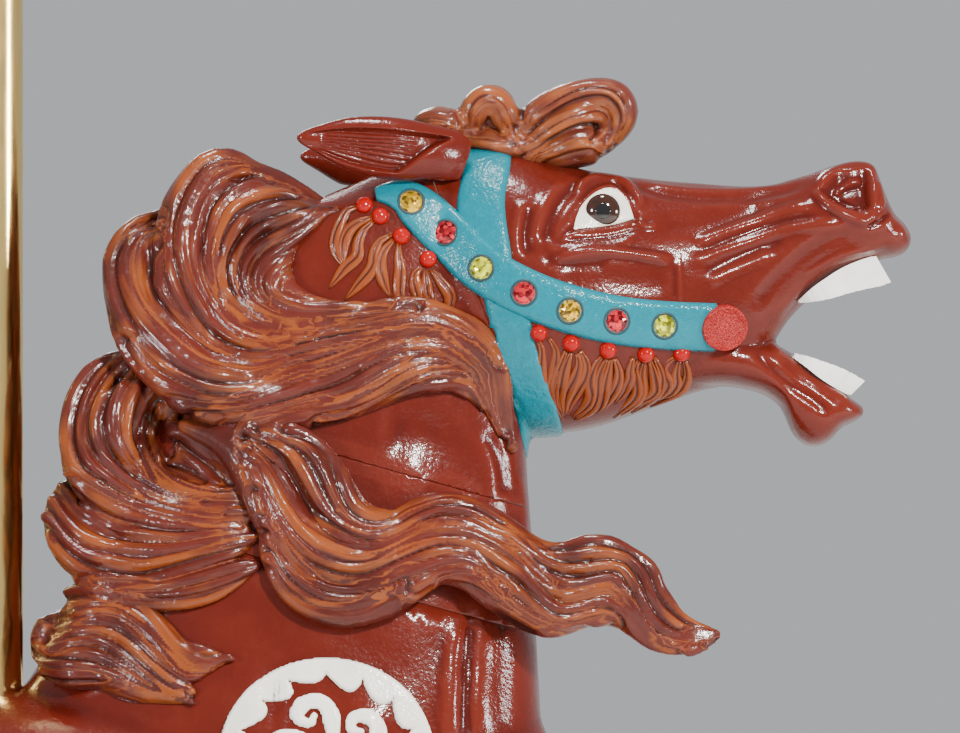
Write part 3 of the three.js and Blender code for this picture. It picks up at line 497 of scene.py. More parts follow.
# Hollows: outline in photo pixels, depth in mm and the width of the slope at the edge in mm
faceHollows = {
    "nostril": ([(820, 188), (829, 179), (838, 172), (854, 168), (868, 167), (875, 176), (875, 195),
                 (873, 208), (864, 213), (846, 208), (831, 199)], 12.5, 10),
    "eyeSocket": ([(560, 236), (575, 208), (590, 190), (606, 182), (622, 185), (633, 200), (640, 220),
                   (618, 230), (590, 234)], 2.5, 8),
}
neckLines = {
    "shoulderEdge": ([(474, 606), (469, 650), (467, 700), (467, 745)], 7, -4.5),
    "shoulderRoll": ([(458, 618), (452, 660), (450, 705), (450, 745)], 10, 3.0),
    "breastFlat": ([(505, 600), (503, 660), (502, 740)], 13, -1.6),
    "throatGroove": ([(486, 430), (500, 460), (506, 500)], 8, -1.8),
    "throatRoll": ([(520, 470), (524, 520), (524, 590)], 6, 1.5),
    "neckHollow": ([(380, 430), (430, 440), (460, 480), (440, 520)], 28, -3.2),
    "cheekUnder": ([(450, 300), (470, 330), (485, 360)], 10, 2.2),
}
# On the body and legs the same kind of line is in mm, as x and z
bodyLines = {
    "shoulderBlade": ([(236, 990), (228, 900), (250, 810), (300, 730)], 18, -4.5),
    "shoulderMuscle": ([(300, 960), (300, 880), (320, 800), (350, 740)], 22, 5.0),
    "foreArm": ([(330, 760), (352, 700), (400, 640)], 10, -3.0),
    "elbow": ([(285, 720), (305, 690), (345, 665)], 12, 4.0),
    "breastCrease": ([(400, 820), (412, 760), (410, 715)], 9, -3.5),
    "haunch": ([(-300, 950), (-278, 880), (-290, 800), (-330, 726)], 20, -5.0),
    "haunchMuscle": ([(-360, 930), (-350, 850), (-380, 760)], 34, 5.0),
    "flankFold": ([(-318, 706), (-270, 692), (-214, 690)], 10, 3.5),
    "flankGroove": ([(-330, 736), (-270, 714), (-200, 716)], 12, -3.0),
    "buttock": ([(-470, 880), (-482, 800), (-462, 720), (-450, 660)], 11, -3.5),
    "thigh": ([(-420, 740), (-440, 680), (-480, 620)], 10, 3.0),
    "ribA": ([(-40, 880), (-60, 800), (-90, 720)], 14, 1.4),
    "ribB": ([(60, 890), (44, 800), (20, 720)], 14, 1.4),
    "ribC": ([(150, 890), (140, 800), (120, 720)], 14, 1.2),
    "hock": ([(-548, 540), (-566, 516), (-580, 490)], 6, 2.4),
    "hockLeft": ([(-470, 510), (-486, 486), (-494, 460)], 6, 2.4),
    "knee": ([(472, 582), (486, 560), (480, 536)], 7, 2.0),
    "kneeLeft": ([(548, 655), (562, 630), (562, 604)], 7, 2.0),
    "tendonFore": ([(428, 462), (412, 420)], 4, 1.6),
    "tendonForeLeft": ([(540, 556), (538, 480)], 4, 1.6),
    "tendonHind": ([(-584, 456), (-578, 380)], 4, 1.6),
    "tendonHindLeft": ([(-490, 430), (-472, 360)], 4, 1.6),
}


def distanceToLine(points, line):
    # Distance from each point to a line of straight runs, and how far along the line it is nearest, 0 to 1
    best = np.full(len(points), np.inf)
    share = np.zeros(len(points))
    lengths = np.linalg.norm(np.diff(line, axis=0), axis=1)
    total, before = lengths.sum(), 0
    for a, b, length in zip(line, line[1:], lengths):
        t = np.clip(((points - a) @ (b - a)) / max(length**2, 1e-12), 0, 1)
        gap = np.linalg.norm(points - a - t[:, None] * (b - a), axis=1)
        nearer = gap < best
        best[nearer] = gap[nearer]
        share[nearer] = ((before + t * length) / total)[nearer]
        before += length
    return best, share


def nearLine(points, curve, reach):
    return np.flatnonzero(np.all((points > curve.min(0) - reach) & (points < curve.max(0) + reach), 1))


def bowl(gap, shore):
    # Rises from 0 at an edge and levels off at 1 where the shore ends
    return 1 - (1 - np.clip(gap / shore, 0, 1)) ** 2


def hollowShare(points, outline, out, shore):
    # Share of a hollow's depth at each point
    rim = smoothCurve(fromPhoto([*outline, outline[0]], out), 60)
    gap, _ = distanceToLine(points, rim)
    return np.where(insideOutline(points, rim), bowl(gap, shore * mm), 0)


# Carving: how far out the carved face lies in mm, steps in a line, the share of a line over which it fades at
# each end, and how soon it fades where the surface turns away from the side
carving = {"out": 60, "steps": 24, "taper": 0.16, "turn": 2.2}


def carve(shape, lines, hollows=None, inPhoto=True):
    vertices, faces = shape
    normals = normalsOf(vertices, faces)
    flat = vertices[:, [0, 2]]
    facing = np.clip(np.abs(normals[:, 1]) * carving["turn"], 0, 1)
    lift = np.zeros(len(vertices))
    for line, halfWidth, height in lines.values():
        line = fromPhoto(line, carving["out"]) if inPhoto else np.asarray(line, float) * mm
        curve = smoothCurve(line, carving["steps"])
        reach = halfWidth * mm
        near = nearLine(flat, curve, reach)
        gap, share = distanceToLine(flat[near], curve)
        rounded = np.clip(1 - (gap / reach) ** 2, 0, 1) ** 2
        taper = np.clip(np.minimum(share, 1 - share) / carving["taper"], 0, 1)
        lift[near] += height * mm * rounded * np.sin(taper * math.pi / 2) ** 2
    for outline, depth, shore in (hollows or {}).values():
        lift -= depth * mm * hollowShare(flat, outline, carving["out"], shore)
    return vertices + normals * (lift * facing)[:, None], faces


def insideOutline(points, outline):
    inside = np.zeros(len(points), bool)
    for (ax, az), (bx, bz) in zip(outline, np.roll(outline, -1, 0)):
        crosses = (points[:, 1] < az) != (points[:, 1] < bz)
        place = ax + (points[:, 1] - az) / np.where(bz == az, 1e-12, bz - az) * (bx - ax)
        inside ^= crosses & (points[:, 0] < place)
    return inside


# Blocks of the trunk: voxel in mm, rounds of smoothing, waviness in mm, and reach of the relief that sets the
# painted shade and highlight
trunkBlocks = {"head": (1.8, 9, 0.25, 14), "neck": (3.2, 8, 0.5, 9), "body": (5.6, 4, 0.5, 6)}
# Glue joints between them: a place and the normal of the plane, in mm, and the width of the line
joints = {
    "jowl": ((340, 0, 1400), (250, 0, 97)), "neck": ((298, 0, 1141), (0.28, 0, 1)),
    "withers": ((323, 0, 1036), (0.28, 0, 1)), "hairline": 0.35,
}


def jointSide(shape, name, sign):
    place, normal = joints[name]
    normal = Vector(normal).normalized() * sign
    point = Vector(place) * mm + normal * joints["hairline"] / 2 * mm
    return keepSide(shape, point, normal)


def unevenness(vertices, amount):
    # The slight waviness of handwork
    waves = [((31, 17, 23), 1.0), ((-19, 37, 29), 0.9), ((47, -23, 53), 0.5), ((71, 59, -43), 0.35)]
    height = sum(size * np.sin(vertices @ np.array(wave) * 2.2 + 1.7 * i)
                 for i, (wave, size) in enumerate(waves))
    return height * amount * mm / 2


def roughened(shape, amount):
    vertices, faces = shape
    return vertices + normalsOf(vertices, faces) * unevenness(vertices, amount)[:, None], faces


def carveTrunk():
    legs = [legShape(leg) for leg in legForms.values()]
    forms = {
        "head": [trunkShape(headForm), trunkShape(jawForm), trunkShape(neckForm, 1040)],
        "neck": [trunkShape(headForm), trunkShape(neckForm), trunkShape(bodyForm, 0)],
        "body": [trunkShape(bodyForm), trunkShape(neckForm), *legs],
    }
    carved = {}
    for name, (voxel, rounds, waviness, _) in trunkBlocks.items():
        shape = relaxed(remeshed(merged(forms[name]), voxel), rounds)
        shape = carve(shape, faceLines, faceHollows) if name == "head" else carve(shape, neckLines)
        if name == "body":
            shape = carve(shape, bodyLines, inPhoto=False)
        carved[name] = roughened(shape, waviness)
    rear = jointSide(carved["neck"], "jowl", -1)
    return {
        "head": jointSide(relaxed(carved["head"], 1), "jowl", 1),
        "neckUpper": jointSide(rear, "neck", 1),
        "neckLower": jointSide(jointSide(rear, "neck", -1), "withers", 1),
        "body": jointSide(carved["body"], "withers", -1),
    }


def surfaceTree(shape):
    vertices, faces = shape
    return BVHTree.FromPolygons(vertices.tolist(), [face for array in faces for face in array.tolist()])


# Rays that find the carved surface
def sideHit(tree, x, z, side):
    place, normal, _, _ = tree.ray_cast(Vector((x, side * 0.6, z)), Vector((0, -side, 0)))
    return (np.array(place), np.array(normal)) if place else None


def inwardHit(tree, origin, target):
    aim = Vector(target) - Vector(origin)
    place, normal, _, _ = tree.ray_cast(Vector(origin), aim.normalized())
    return (np.array(place), np.array(normal)) if place else None


def filled(values):
    # Bridges the places where a ray found nothing
    values = np.asarray(values, float)
    known = ~np.isnan(values[:, 0])
    index = np.arange(len(values))
    return between(index, index[known], values[known])


def averaged(values, rounds):
    for _ in range(rounds):
        inner = (values[:-2] + 2 * values[1:-1] + values[2:]) / 4
        values = np.concatenate([values[:1], inner, values[-1:]])
    return values


# Hair: each mass of the mane is one skin over a few smooth bars, combed into strands along drawn lines
# Combing, in mm: how far a strand reaches, its depth, the gap between strands at full depth, the gaps at
# which it fades out, voxels of the fine and the coarse masses, and the strands' distance from the mid-plane
combing = {"reach": 11, "depth": 7, "fullSpacing": 13, "finest": (4.0, 7.5), "voxels": (2.1, 3.2), "out": 85,
           "smoothing": 7, "waviness": 0.8, "steps": 48, "seed": 5, "grooves": [0.3, 0.45, 0.8, 1.0],
           "levels": (-0.1, 0.35)}
lockSizes = {
    "full": {"width": [8, 34, 46, 47, 44, 40, 32, 7], "thick": [8, 28, 34, 34, 32, 30, 24, 8], "lift": 3},
    "slim": {"width": [6, 24, 33, 33, 31, 26, 6], "thick": [8, 20, 24, 24, 22, 20, 6], "lift": 4},
    "flat": {"width": [8, 26, 34, 34, 30, 8], "thick": [8, 14, 18, 18, 14, 4], "lift": 3},
    "short": {"width": [12, 34, 38, 34, 26, 4], "thick": [14, 26, 28, 26, 20, 6], "lift": 3},
    "curl": {"width": [10, 22, 25, 25, 23, 12], "thick": [20, 50, 58, 58, 50, 24], "lift": 0},
    "base": {"width": [8, 20, 27, 28, 26, 14], "thick": [16, 44, 54, 56, 50, 24], "lift": 0},
    "flowing": {"width": [10, 34, 42, 42, 40, 36, 30, 6], "thick": [10, 32, 38, 38, 38, 36, 28, 6],
                "lift": 8},
}
# Lines are in photo pixels, with a third number where the lock's distance from the mid-plane is set, in mm
maneLocks = {
    "maneUpper": [
        ("slim", [(166, 208, 16), (151, 231, 20), (154, 264, 30), (166, 300, 40)]),
        ("full", [(162, 214, 20), (133, 227, 34), (122, 266, 46), (135, 320, 60), (166, 363, 76),
                  (214, 395, 84), (275, 405), (335, 397), (392, 380), (440, 372), (470, 388), (484, 412)]),
        ("full", [(330, 205, 24), (286, 187, 22), (250, 178, 24), (221, 168, 30), (199, 186, 44),
                  (181, 232, 58), (178, 286, 70), (190, 330), (228, 365), (285, 380), (345, 371),
                  (400, 352), (448, 352),
                  (478, 375), (492, 408), (503, 440)]),
        ("full", [(330, 208, 34), (281, 202, 44), (236, 202, 54), (213, 235, 62), (209, 281), (230, 325),
                  (275, 350), (330, 348), (385, 330), (435, 326), (475, 347), (494, 384), (503, 415),
                  (513, 452)]),
        ("slim", [(332, 209, 46), (286, 214, 52), (257, 228, 58), (240, 262), (250, 302), (285, 328),
                  (335, 330), (385, 319), (430, 315), (464, 330), (484, 352)]),
        ("slim", [(338, 208, 50), (297, 224, 57), (273, 252), (275, 288), (303, 312), (345, 318),
                  (392, 310)]),
        ("flat", [(160, 392, 80), (200, 410), (245, 416), (292, 412), (348, 392), (395, 380), (440, 388)]),
        ("flat", [(152, 226, 40), (150, 262, 50), (156, 306, 60), (184, 345, 72), (220, 370)]),
    ],
    "maneMiddle": [
        ("slim", [(114, 360, 34), (132, 372, 44), (156, 394, 54), (175, 420)]),
        ("full", [(146, 352, 40), (110, 370, 30), (90, 403, 42), (86, 440, 52), (96, 474, 70), (130, 502),
                  (180, 513), (225, 514), (264, 514)]),
        ("full", [(158, 380, 62), (126, 402, 62), (108, 435, 66), (118, 468), (150, 488), (205, 497),
                  (262, 502)]),
        ("slim", [(172, 396), (145, 418), (135, 448), (160, 474), (205, 486), (258, 490)]),
        ("flat", [(166, 424), (185, 440), (210, 462), (250, 484)]),
        ("full", [(92, 472, 30), (72, 493, 36), (67, 522, 50), (82, 549, 68), (114, 560), (160, 558),
                  (215, 546), (264, 534)]),
        ("short", [(72, 534, 30), (80, 562, 48), (108, 582, 78), (152, 590), (210, 583), (264, 562)]),
        ("slim", [(66, 500, 40), (90, 515, 62), (130, 525), (190, 530), (250, 525)]),
    ],
    "maneLower": [
        ("short", [(66, 596, 50), (100, 598, 76), (126, 612), (152, 637), (182, 658), (236, 658)]),
        ("short", [(62, 614, 46), (92, 616, 76), (120, 630), (148, 652), (176, 672), (214, 668)]),
        ("short", [(50, 636, 44), (84, 636, 74), (116, 650), (146, 670), (174, 686), (198, 694)]),
        ("short", [(38, 654, 48), (70, 656, 76), (108, 662), (142, 678), (172, 692), (196, 702)]),
        ("short", [(40, 672, 52), (72, 668, 80), (106, 668), (140, 684), (176, 700)]),
        ("slim", [(64, 612, 34), (50, 640, 40), (40, 668, 50)]),
    ],
    "flyingLock": [
        ("flat", [(250, 436), (278, 460), (302, 490), (330, 522), (376, 540)]),
        ("flowing", [(205, 430), (260, 435), (302, 453), (328, 486), (350, 521), (394, 537), (440, 517),
                     (485, 529, 92), (525, 557, 92), (560, 566, 88), (600, 557, 84), (635, 572, 82),
                     (650, 598, 80), (678, 623, 80), (722, 633, 82)]),
        ("flowing", [(180, 424), (228, 445), (260, 482), (282, 522), (312, 554), (354, 567), (398, 556),
                     (440, 537, 98), (480, 547, 98), (520, 577, 96), (560, 590, 92), (600, 580, 88),
                     (635, 591, 86), (660, 620, 84), (690, 637, 83), (722, 634, 82)]),
        ("flowing", [(262, 520), (280, 563), (310, 590), (350, 600), (395, 581), (435, 559, 100),
                     (475, 567, 100), (510, 595, 98), (550, 613, 94), (592, 604, 90), (627, 609, 87),
                     (657, 634, 85), (690, 645, 83), (722, 636, 82)]),
    ],
    "forelock": [
        ("base", [(413, 122, 8), (428, 120, 8), (446, 124, 8), (466, 132, 8)]),
        ("base", [(444, 131, 2), (472, 138, 2), (505, 144, 2), (545, 149, 2), (576, 152, 2),
                  (598, 153, 2)]),
        ("flat", [(474, 124, 4), (486, 122, 4), (500, 126, 4)]),
        ("flat", [(584, 128, 6), (598, 128, 6), (610, 130, 6)]),
        ("curl", [(471, 134, 4), (474, 111, 4), (485, 98, 4), (498, 102, 4), (507, 118, 4), (511, 136, 4)]),
        ("curl", [(514, 144, 4), (528, 120, 4), (550, 104, 4), (575, 94, 4), (600, 90, 4), (618, 96, 4),
                  (624, 112, 4), (618, 130, 4), (604, 147, 4)]),
        ("curl", [(522, 148, 6), (546, 130, 6), (576, 117, 6), (600, 114, 6), (608, 128, 6)]),
        ("base", [(534, 152, 6), (562, 144, 6), (588, 141, 6), (612, 143, 6)]),
    ],
    "maneLeftUpper": [
        ("full", [(330, 203, 20), (269, 188, 26), (216, 200, 40), (181, 245, 60), (179, 302), (211, 355),
                  (274, 380), (344, 380)]),
        ("full", [(330, 210, 44), (266, 215, 52), (226, 248), (224, 298), (259, 338), (319, 345),
                  (381, 332)]),
        ("full", [(169, 225, 26), (139, 278, 44), (144, 338, 66), (184, 380), (246, 402), (311, 405)]),
    ],
}
# The crest of each strand, in photo pixels; a groove lies midway between neighbours
strandLines = {
    "maneUpper": [
        [(319, 195), (299, 181), (245, 155), (222, 152), (199, 160), (174, 197), (166, 247), (180, 299),
         (196, 326), (217, 345), (242, 354), (272, 354), (400, 327), (441, 329), (485, 358), (493, 372),
         (498, 411), (503, 429)],
        [(317, 195), (259, 165), (238, 158), (215, 163), (196, 180), (178, 224), (184, 272), (213, 322),
         (234, 339), (259, 346), (291, 344)],
        [(310, 188), (284, 176), (259, 169), (234, 173), (217, 186), (205, 203), (198, 224), (196, 247),
         (199, 272), (209, 297), (224, 320), (245, 333), (272, 339), (301, 337), (320, 331), (414, 320),
         (435, 321), (471, 340), (485, 352)],
        [(314, 194), (291, 181), (263, 178), (242, 186), (224, 199), (213, 220), (206, 264), (224, 308),
         (242, 324), (265, 332)],
        [(318, 197), (284, 190), (257, 193), (238, 202), (225, 217), (215, 257), (226, 299), (240, 316),
         (259, 327), (282, 332), (310, 333)],
        [(320, 200), (291, 203), (245, 219), (225, 251), (226, 291), (253, 318), (276, 326)],
        [(322, 204), (272, 223), (253, 233), (233, 264), (241, 299), (274, 320), (301, 327), (414, 315),
         (455, 322), (486, 347), (495, 362)],
        [(325, 208), (265, 242), (250, 255), (243, 270), (243, 285), (251, 301), (266, 312), (288, 320),
         (310, 323)],
        [(328, 214), (309, 231), (270, 256), (258, 268), (253, 283), (259, 296), (272, 306), (314, 318),
         (414, 311)],
        [(330, 219), (316, 238), (280, 266), (269, 280), (270, 292), (280, 303), (316, 311), (387, 305)],
        [(161, 212), (142, 217), (123, 230), (111, 247), (107, 266), (117, 312), (146, 356), (192, 383),
         (219, 389), (249, 386), (301, 367), (320, 363), (403, 336), (441, 336), (471, 353), (483, 364),
         (490, 379), (497, 415), (503, 435)],
        [(161, 221), (144, 224), (129, 236), (119, 272), (136, 312), (171, 350), (192, 365), (215, 373),
         (245, 376), (272, 371), (301, 358), (403, 331), (439, 332), (455, 341)],
        [(162, 234), (150, 238), (140, 251), (138, 268), (144, 289), (157, 309), (198, 348), (222, 359),
         (253, 363), (282, 356)],
        [(163, 249), (155, 264), (157, 286), (167, 305), (184, 325), (207, 343), (230, 352)],
        [(131, 343), (144, 362), (163, 379), (207, 398), (234, 397), (310, 372), (320, 372), (392, 343),
         (411, 340), (445, 344), (473, 360), (482, 372), (497, 421)],
        [(165, 407), (224, 408), (253, 403), (310, 384), (337, 378), (376, 358), (414, 347), (449, 351),
         (474, 368), (482, 380)],
        [(196, 416), (224, 417), (291, 405), (337, 390), (387, 363), (416, 353), (449, 356), (463, 363)],
        [(225, 426), (298, 407), (358, 394), (407, 364), (438, 359), (467, 366), (478, 374), (485, 387)],
        [(229, 429), (260, 425), (284, 418), (320, 412), (340, 410), (374, 396), (414, 373), (447, 368),
         (465, 370), (475, 378), (487, 403)],
        [(320, 421), (355, 414), (374, 406), (430, 376), (465, 378), (477, 386), (491, 415)],
        [(320, 430), (353, 423), (411, 392), (447, 383), (465, 384), (477, 392), (498, 434)],
    ],
    "maneMiddle": [
        [(129, 341), (107, 353), (85, 372), (71, 397), (65, 422), (65, 447), (74, 468), (89, 481),
         (135, 504), (193, 518), (221, 521), (260, 518)],
        [(133, 347), (112, 359), (95, 378), (84, 399), (79, 422), (82, 445), (93, 466), (135, 494),
         (193, 511), (221, 514)],
        [(137, 353), (122, 363), (107, 382), (97, 403), (93, 424), (97, 445), (110, 464), (152, 493),
         (202, 506), (260, 509)],
        [(141, 359), (118, 391), (111, 412), (112, 433), (120, 452), (135, 470), (175, 494), (198, 499)],
        [(145, 364), (129, 401), (129, 439), (152, 473), (189, 494), (258, 502)],
        [(152, 378), (152, 395), (141, 429), (144, 449), (152, 464), (166, 478), (187, 489), (212, 495),
         (240, 495), (256, 497)],
        [(157, 407), (152, 439), (168, 470), (202, 485), (225, 486), (246, 491)],
        [(172, 437), (193, 447), (231, 477)],
        [(165, 449), (223, 480)],
        [(164, 462), (198, 478)],
        [(74, 483), (116, 506), (173, 524), (240, 523)],
        [(63, 489), (85, 514), (118, 532), (173, 537), (260, 526)],
        [(51, 502), (63, 519), (82, 536), (107, 544), (164, 547), (263, 533)],
        [(46, 518), (59, 537), (80, 553), (133, 566), (160, 563), (221, 546), (262, 540)],
        [(48, 535), (59, 551), (95, 577), (149, 578), (237, 553), (263, 548)],
        [(107, 584), (164, 585), (246, 562), (267, 559)],
        [(87, 583), (145, 595), (202, 588), (267, 567)],
        [(126, 598), (154, 604), (193, 603), (221, 595), (267, 574)],
    ],
    "maneLower": [
        [(48, 613), (56, 598), (69, 591), (106, 593), (136, 603), (149, 613), (187, 654), (217, 662),
         (233, 654)],
        [(53, 617), (67, 606), (106, 601), (141, 616), (184, 658), (201, 664), (222, 665)],
        [(56, 624), (74, 614), (112, 611), (144, 629), (173, 656), (189, 668), (208, 670)],
        [(55, 630), (74, 622), (112, 621), (146, 640), (158, 654), (187, 675), (206, 678)],
        [(51, 638), (71, 631), (109, 633), (155, 667), (182, 686), (201, 688)],
        [(50, 648), (67, 642), (87, 639), (106, 643), (122, 653), (166, 687), (182, 693)],
        [(37, 652), (79, 651), (118, 665), (150, 686), (169, 694)],
        [(29, 659), (45, 664), (106, 670), (153, 694), (173, 699)],
        [(27, 668), (42, 674), (106, 678), (161, 700), (179, 702)],
        [(31, 678), (45, 686), (64, 688), (106, 686), (125, 690), (160, 704), (176, 706), (193, 702)],
        [(36, 689), (53, 694), (93, 691), (131, 696), (163, 708), (182, 708)],
    ],
    "flyingLock": [
        [(290, 428), (309, 430), (335, 449), (347, 485), (357, 505), (371, 516), (388, 513), (408, 501),
         (448, 490), (489, 501), (545, 541), (561, 540), (595, 533), (629, 543), (653, 563), (665, 591),
         (688, 616), (720, 628)],
        [(262, 433), (297, 442), (313, 453), (323, 469), (338, 507), (353, 521), (373, 526), (392, 521),
         (410, 509), (448, 497), (487, 505), (540, 546), (555, 554), (573, 555), (590, 552), (622, 555),
         (636, 563), (645, 576), (659, 606), (685, 627), (720, 632)],
        [(250, 434), (282, 446), (297, 458), (320, 497), (334, 516), (354, 529), (375, 535), (394, 529),
         (432, 510), (454, 508), (475, 513), (495, 525), (515, 533), (543, 558), (577, 569), (612, 564),
         (626, 571), (650, 615), (662, 628), (679, 635), (719, 634)],
        [(250, 442), (268, 454), (280, 470), (302, 508), (319, 524), (361, 543), (380, 542), (418, 525),
         (462, 519), (500, 533), (515, 543), (540, 571), (555, 580), (572, 582), (607, 575), (619, 581),
         (647, 625), (659, 638), (694, 642), (713, 637)],
        [(250, 451), (262, 467), (299, 527), (343, 552), (386, 551), (424, 533), (465, 530), (515, 552),
         (555, 591), (570, 596), (604, 588), (616, 592), (647, 634), (661, 646), (678, 650), (696, 647)],
        [(254, 469), (274, 511), (305, 551), (325, 563), (347, 568), (369, 566), (428, 541), (471, 543),
         (500, 561), (517, 569), (544, 597), (560, 607), (575, 607), (607, 601), (619, 608), (642, 637),
         (658, 650), (674, 654)],
        [(260, 493), (271, 519), (303, 561), (325, 574), (349, 579), (373, 576), (432, 551), (456, 549),
         (477, 554), (500, 578), (515, 588), (546, 615), (561, 621), (592, 612), (607, 614), (616, 622)],
        [(266, 519), (282, 546), (299, 567), (321, 582), (345, 588), (369, 585), (390, 578), (408, 569),
         (454, 559), (475, 562), (500, 593), (532, 620), (566, 628), (599, 621), (613, 620)],
        [(269, 536), (284, 561), (301, 579), (323, 593), (347, 597), (371, 594), (390, 585)],
        [(270, 556), (282, 576), (299, 591), (321, 602), (345, 605), (369, 601), (402, 583)],
        [(272, 572), (280, 587), (297, 601), (321, 611), (345, 613), (369, 609), (388, 598)],
        [(416, 586), (434, 575), (454, 568), (471, 569), (505, 588), (500, 606), (547, 633), (566, 635),
         (583, 631)],
        [(444, 581), (464, 578), (483, 583), (545, 623)],
        [(448, 586), (469, 592), (533, 627)],
    ],
    "forelock": [
        [(414, 119), (428, 114), (443, 115), (458, 121)],
        [(419, 124), (436, 121), (466, 132)],
        [(464, 122), (464, 106), (473, 93), (485, 87), (499, 91), (511, 103), (517, 119)],
        [(470, 124), (471, 111), (479, 100), (489, 96), (500, 103), (507, 114), (511, 129)],
        [(477, 126), (480, 114), (488, 107), (497, 112), (506, 133)],
        [(446, 131), (488, 132), (505, 138)],
        [(450, 138), (475, 139), (500, 144), (520, 151)],
        [(521, 128), (531, 110), (570, 84), (593, 78), (613, 80), (627, 91), (634, 108), (631, 125),
         (621, 140)],
        [(519, 136), (533, 119), (572, 94), (594, 89), (611, 91), (622, 102), (626, 116), (620, 132),
         (610, 145)],
        [(520, 143), (558, 114), (597, 101), (610, 105), (616, 117), (612, 130), (602, 143)],
        [(523, 149), (566, 124), (588, 116), (602, 116), (606, 126), (597, 138)],
        [(530, 154), (574, 132), (592, 130)],
        [(540, 159), (584, 142), (606, 147)],
        [(548, 165), (570, 158), (594, 155)],
    ],
}
# Hollows between the locks: outline in photo pixels, depth in mm and the width of the slope at the edge in mm
maneHollows = {
    "maneMiddle": {"swirl": ([(160, 452), (165, 440), (176, 433), (204, 443), (222, 460), (240, 478),
                              (232, 488), (204, 486), (176, 477), (162, 466)], 7, 8)},
    "maneUpper": {"fold": ([(140, 240), (150, 226), (160, 232), (162, 260), (160, 288), (150, 280),
                            (141, 262)],
                           4, 7)},
}


def lockFrame(points, outward):
    # Directions across and out at each point
    run = unit(np.gradient(points, axis=0))
    outward = unit(outward - np.einsum("ij,ij->i", outward, run)[:, None] * run)
    return np.cross(run, outward), outward


def halfSizes(lock, steps):
    return (along(lock[key], steps)[:, None] * mm / 2 for key in ("width", "thick"))


def barShape(points, outward, lock, sides=28):
    # A bar of oval section along the points
    halfWidth, thick = halfSizes(lock, len(points) - 1)
    c, s = circle(sides)
    return swept(points, *lockFrame(points, outward), halfWidth * c, thick * s)


# How a lock passes from the carved neck to distances of its own: over how many points of its line, and by
# what share it turns to face outward there. Then the averaging and outward lean of every lock.
lockLay = {"reach": 1.4, "turned": 0.8, "averaging": 30, "lean": 0.6}


def lockPath(tree, lock, line, side, steps=80):
    # The middle line follows the carved neck, except where the lock gives its own distance out, in mm
    flat = fromPhoto([p[:2] for p in line], 80)
    keyed = smoothCurve(np.hstack([flat, np.arange(len(line))[:, None] * 1e-4]), steps)
    index = keyed[:, 2] * 1e4
    found = []
    for x, z, _ in keyed:
        hit = sideHit(tree, x, z, side)
        found.append([abs(hit[0][1]) + lock["lift"] * mm, *hit[1]] if hit else [np.nan] * 4)
    found = np.tile([0.05, 0, side, 0], (steps + 1, 1)) if np.isnan(found).all() else filled(found)
    out, normals = found[:, 0], found[:, 1:]
    given = np.array([[i, p[2]] for i, p in enumerate(line) if len(p) > 2])
    if len(given):
        nearest = np.min(np.abs(index[:, None] - given[None, :, 0]), 1)
        weight = np.clip(lockLay["reach"] - nearest, 0, 1)
        weight = weight**2 * (3 - 2 * weight)
        out = out * (1 - weight) + np.interp(index, given[:, 0], given[:, 1]) * mm * weight
        turned = (lockLay["turned"] * weight)[:, None]
        normals = normals * (1 - turned) + np.array([0, side, 0]) * turned
    out, normals = (averaged(values, lockLay["averaging"]) for values in (out, normals))
    path = np.stack([keyed[:, 0], side * out, keyed[:, 1]], 1)
    return path, normals + np.array([0, side * lockLay["lean"], 0])


# Gouged strands: how sharp they are in height and in paint, how fast the gouging fades where the skin turns
# away and the least that is left, where the skin past the outermost strand turns plain, over what share and
# at what height, and the step from one strand's colour value to the next
gouging = {"sharp": 1.6, "paintSharp": 1.3, "turning": 2.5, "least": 0.12, "plainFrom": 0.55,
           "plainOver": 0.4, "plainAt": 0.4, "colourStep": 0.618}


